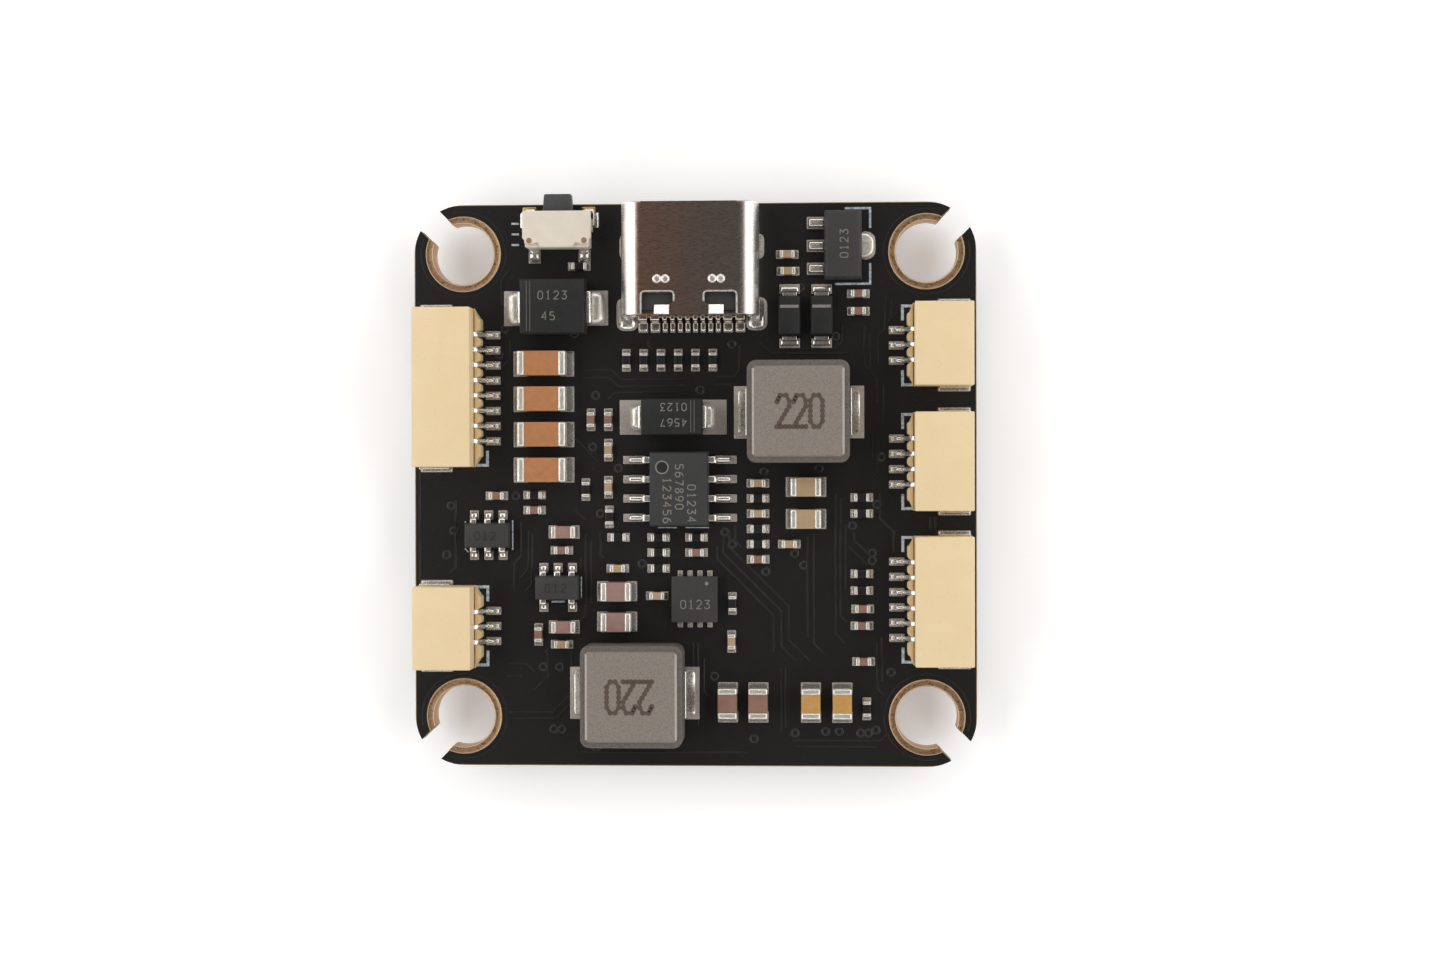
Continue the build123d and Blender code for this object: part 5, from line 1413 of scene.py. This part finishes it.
def chip_part(parts, ends, low, high, terminals, beyond, finish, up):
    """A chip part: its brick, its rounded tinned ends and the solder that holds them."""
    middle = (low + high) / 2
    face_z = board_top if up > 0 else board_low.z
    proud = Vector((0.02, 0.02, 0))
    parts.stack(low - proud, high + proud, rounded_levels(high.z - low.z, 0.04), 0.03, up, finish)
    for end_low, end_high in terminals:
        end_middle = (end_low + end_high) / 2
        gap = end_middle - middle
        if abs(gap.x) > abs(gap.y):
            outward = (round(gap.x / abs(gap.x)), 0)
        else:
            outward = (0, round(gap.y / abs(gap.y)))
        size = end_high - end_low
        dome_width, dome_rise = 0.4 * min(size.x, size.y), 0.26 * min(size.x, size.y)
        levels = [(0.0, 0.03), (0.03, 0.0)]
        for degrees in range(0, 91, 15):
            a = radians(degrees)
            levels.append((size.z - dome_rise * (1 - sin(a)), dome_width * (1 - cos(a))))
        ends.stack(end_low, end_high, levels, 0.07, up, 2)
        if abs(outward[0]):
            wall = end_high.x if outward[0] > 0 else end_low.x
            x0, x1, y0, y1 = wall, wall + outward[0] * beyond, end_low.y, end_high.y
            pad(ends, wall - outward[0] * (size.x + 0.02), y0 - 0.04, x1, y1 + 0.04, 1, 0.05, face_z, up)
        else:
            wall = end_high.y if outward[1] > 0 else end_low.y
            x0, x1, y0, y1 = end_low.x, end_high.x, wall, wall + outward[1] * beyond
            pad(ends, x0 - 0.04, wall - outward[1] * (size.y + 0.02), x1 + 0.04, y1, 1, 0.05, face_z, up)
        shy = Vector((outward[0], outward[1])) * beyond * 0.06
        heap_low = (min(x0, x1 - shy.x), min(y0, y1 - shy.y))
        heap_high = (max(x0, x1 - shy.x), max(y0, y1 - shy.y))
        wetting(ends, heap_low, heap_high, outward, size.z * 0.66, 0, face_z, up, beyond * 0.6, 1.5, 5)


def near_ends(low, high, boxes):
    """The metal ends that touch a brick."""
    slack = 0.04
    return [(a, b) for a, b in boxes
            if all(a[i] <= high[i] + slack and b[i] >= low[i] - slack for i in range(3))]


capacitor_ends, resistor_ends = Shape(), Shape()
capacitor_boxes, resistor_boxes = solids("capacitor_terminals"), solids("resistor_terminals")
choice = random.Random(7)
families = [
    ("input_capacitor_bodies", "capacitor_orange", [orange], 0.42),
    ("output_capacitor_bodies", "capacitor_tan", [tan, rose, brown, amber], 0.33),
    ("filter_capacitor_bodies", "capacitor_grey", [rose], 0.23),
    ("small_capacitor_bodies", "capacitor_brown", [brown, tan], 0.25),
    ("resistor_bodies", "resistor_glass", [black_glaze], 0.25),
]
for node, slot_name, finishes, beyond in families:
    bricks = Shape()
    for low, high in solids(node):
        up = 1 if low.z > board_top / 2 else -1
        number = 0
        if node == "output_capacitor_bodies":
            middle = (low + high) / 2
            number = 0 if middle.y > -4 else 1 if middle.x < 0 else 2 if middle.x < 6 else 3
        elif node == "small_capacitor_bodies":
            number = 1 if choice.random() < 0.35 else 0
        boxes = resistor_boxes if node == "resistor_bodies" else capacitor_boxes
        ends = resistor_ends if node == "resistor_bodies" else capacitor_ends
        chip_part(bricks, ends, low, high, near_ends(low, high, boxes), beyond, number, up)
    bricks.make(node.replace("bodies", "bricks"), slot_name, finishes, [node])
capacitor_ends.make("capacitor_ends", "tinned_metal", [solder, tinned_pad, end_tin], ["capacitor_terminals"])
resistor_ends.make("resistor_ends", "tinned_metal", [solder, tinned_pad, end_tin], ["resistor_terminals"])


# Studio: a pale sheet to stand on, a large soft light at each side with weaker ones before and
# behind, and the camera high above the board, a little to the right.
paper = Finish("pale_paper", Roughness=0.85, Emission_Color=(1.0, 1.0, 1.0), Emission_Strength=0.22)
paper.set(Base_Color=paper.mix(paper.noise(0.03, 3.0), tint(246, 246, 247), tint(250, 250, 250)))
paper.bump(paper.noise(1.5, 3.0), 0.01)
floor_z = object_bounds()[0].z - 0.00002
floor_mesh = bpy.data.meshes.new("floor")
floor_half = 3.0
corners = [(-floor_half, -floor_half, floor_z), (floor_half, -floor_half, floor_z),
           (floor_half, floor_half, floor_z), (-floor_half, floor_half, floor_z)]
floor_mesh.from_pydata(corners, [], [(0, 1, 2, 3)])
floor_mesh.materials.append(paper.material)
floor = bpy.data.objects.new("floor", floor_mesh)
bpy.context.scene.collection.objects.link(floor)

bpy.context.scene.view_settings.view_transform = "Standard"
world = bpy.data.worlds.new("studio")
bpy.context.scene.world = world
world.use_nodes = True
world.node_tree.nodes["Background"].inputs["Color"].default_value = (0.8, 0.74, 0.7, 1.0)
world.node_tree.nodes["Background"].inputs["Strength"].default_value = 0.12


def soft_light(name, place, size, power):
    """A softbox at a place in millimetres, turned to the board."""
    lamp = bpy.data.lights.new(name, "AREA")
    lamp.shape = "RECTANGLE"
    lamp.size, lamp.size_y = size[0] / 1000, size[1] / 1000
    lamp.energy = power
    light = bpy.data.objects.new(name, lamp)
    bpy.context.scene.collection.objects.link(light)
    light.location = Vector(place) / 1000
    light.rotation_mode = "QUATERNION"
    away = light.location.normalized()
    level = Vector((-away.y, away.x, 0)).normalized()
    steep = away.cross(level)
    light.rotation_quaternion = Matrix((level, steep, away)).transposed().to_quaternion()


soft_light("left_softbox", (-255, 10, 165), (480, 310), 0.85)
soft_light("right_softbox", (265, 0, 165), (480, 310), 0.85)
soft_light("back_softbox", (20, 260, 200), (320, 160), 0.34)
soft_light("front_softbox", (0, -280, 220), (320, 160), 0.28)

lens = bpy.data.cameras.new("camera")
camera = bpy.data.objects.new("camera", lens)
bpy.context.scene.collection.objects.link(camera)
bpy.context.scene.camera = camera
lens.sensor_width = 36.0
lens.lens = 56.93
lens.clip_start, lens.clip_end = 0.001, 20.0
camera.location = Vector((9.518, 0.828, 151.6)) / 1000
camera.rotation_mode = "XYZ"
camera.rotation_euler = (radians(-0.24), radians(2.92), radians(-0.12))
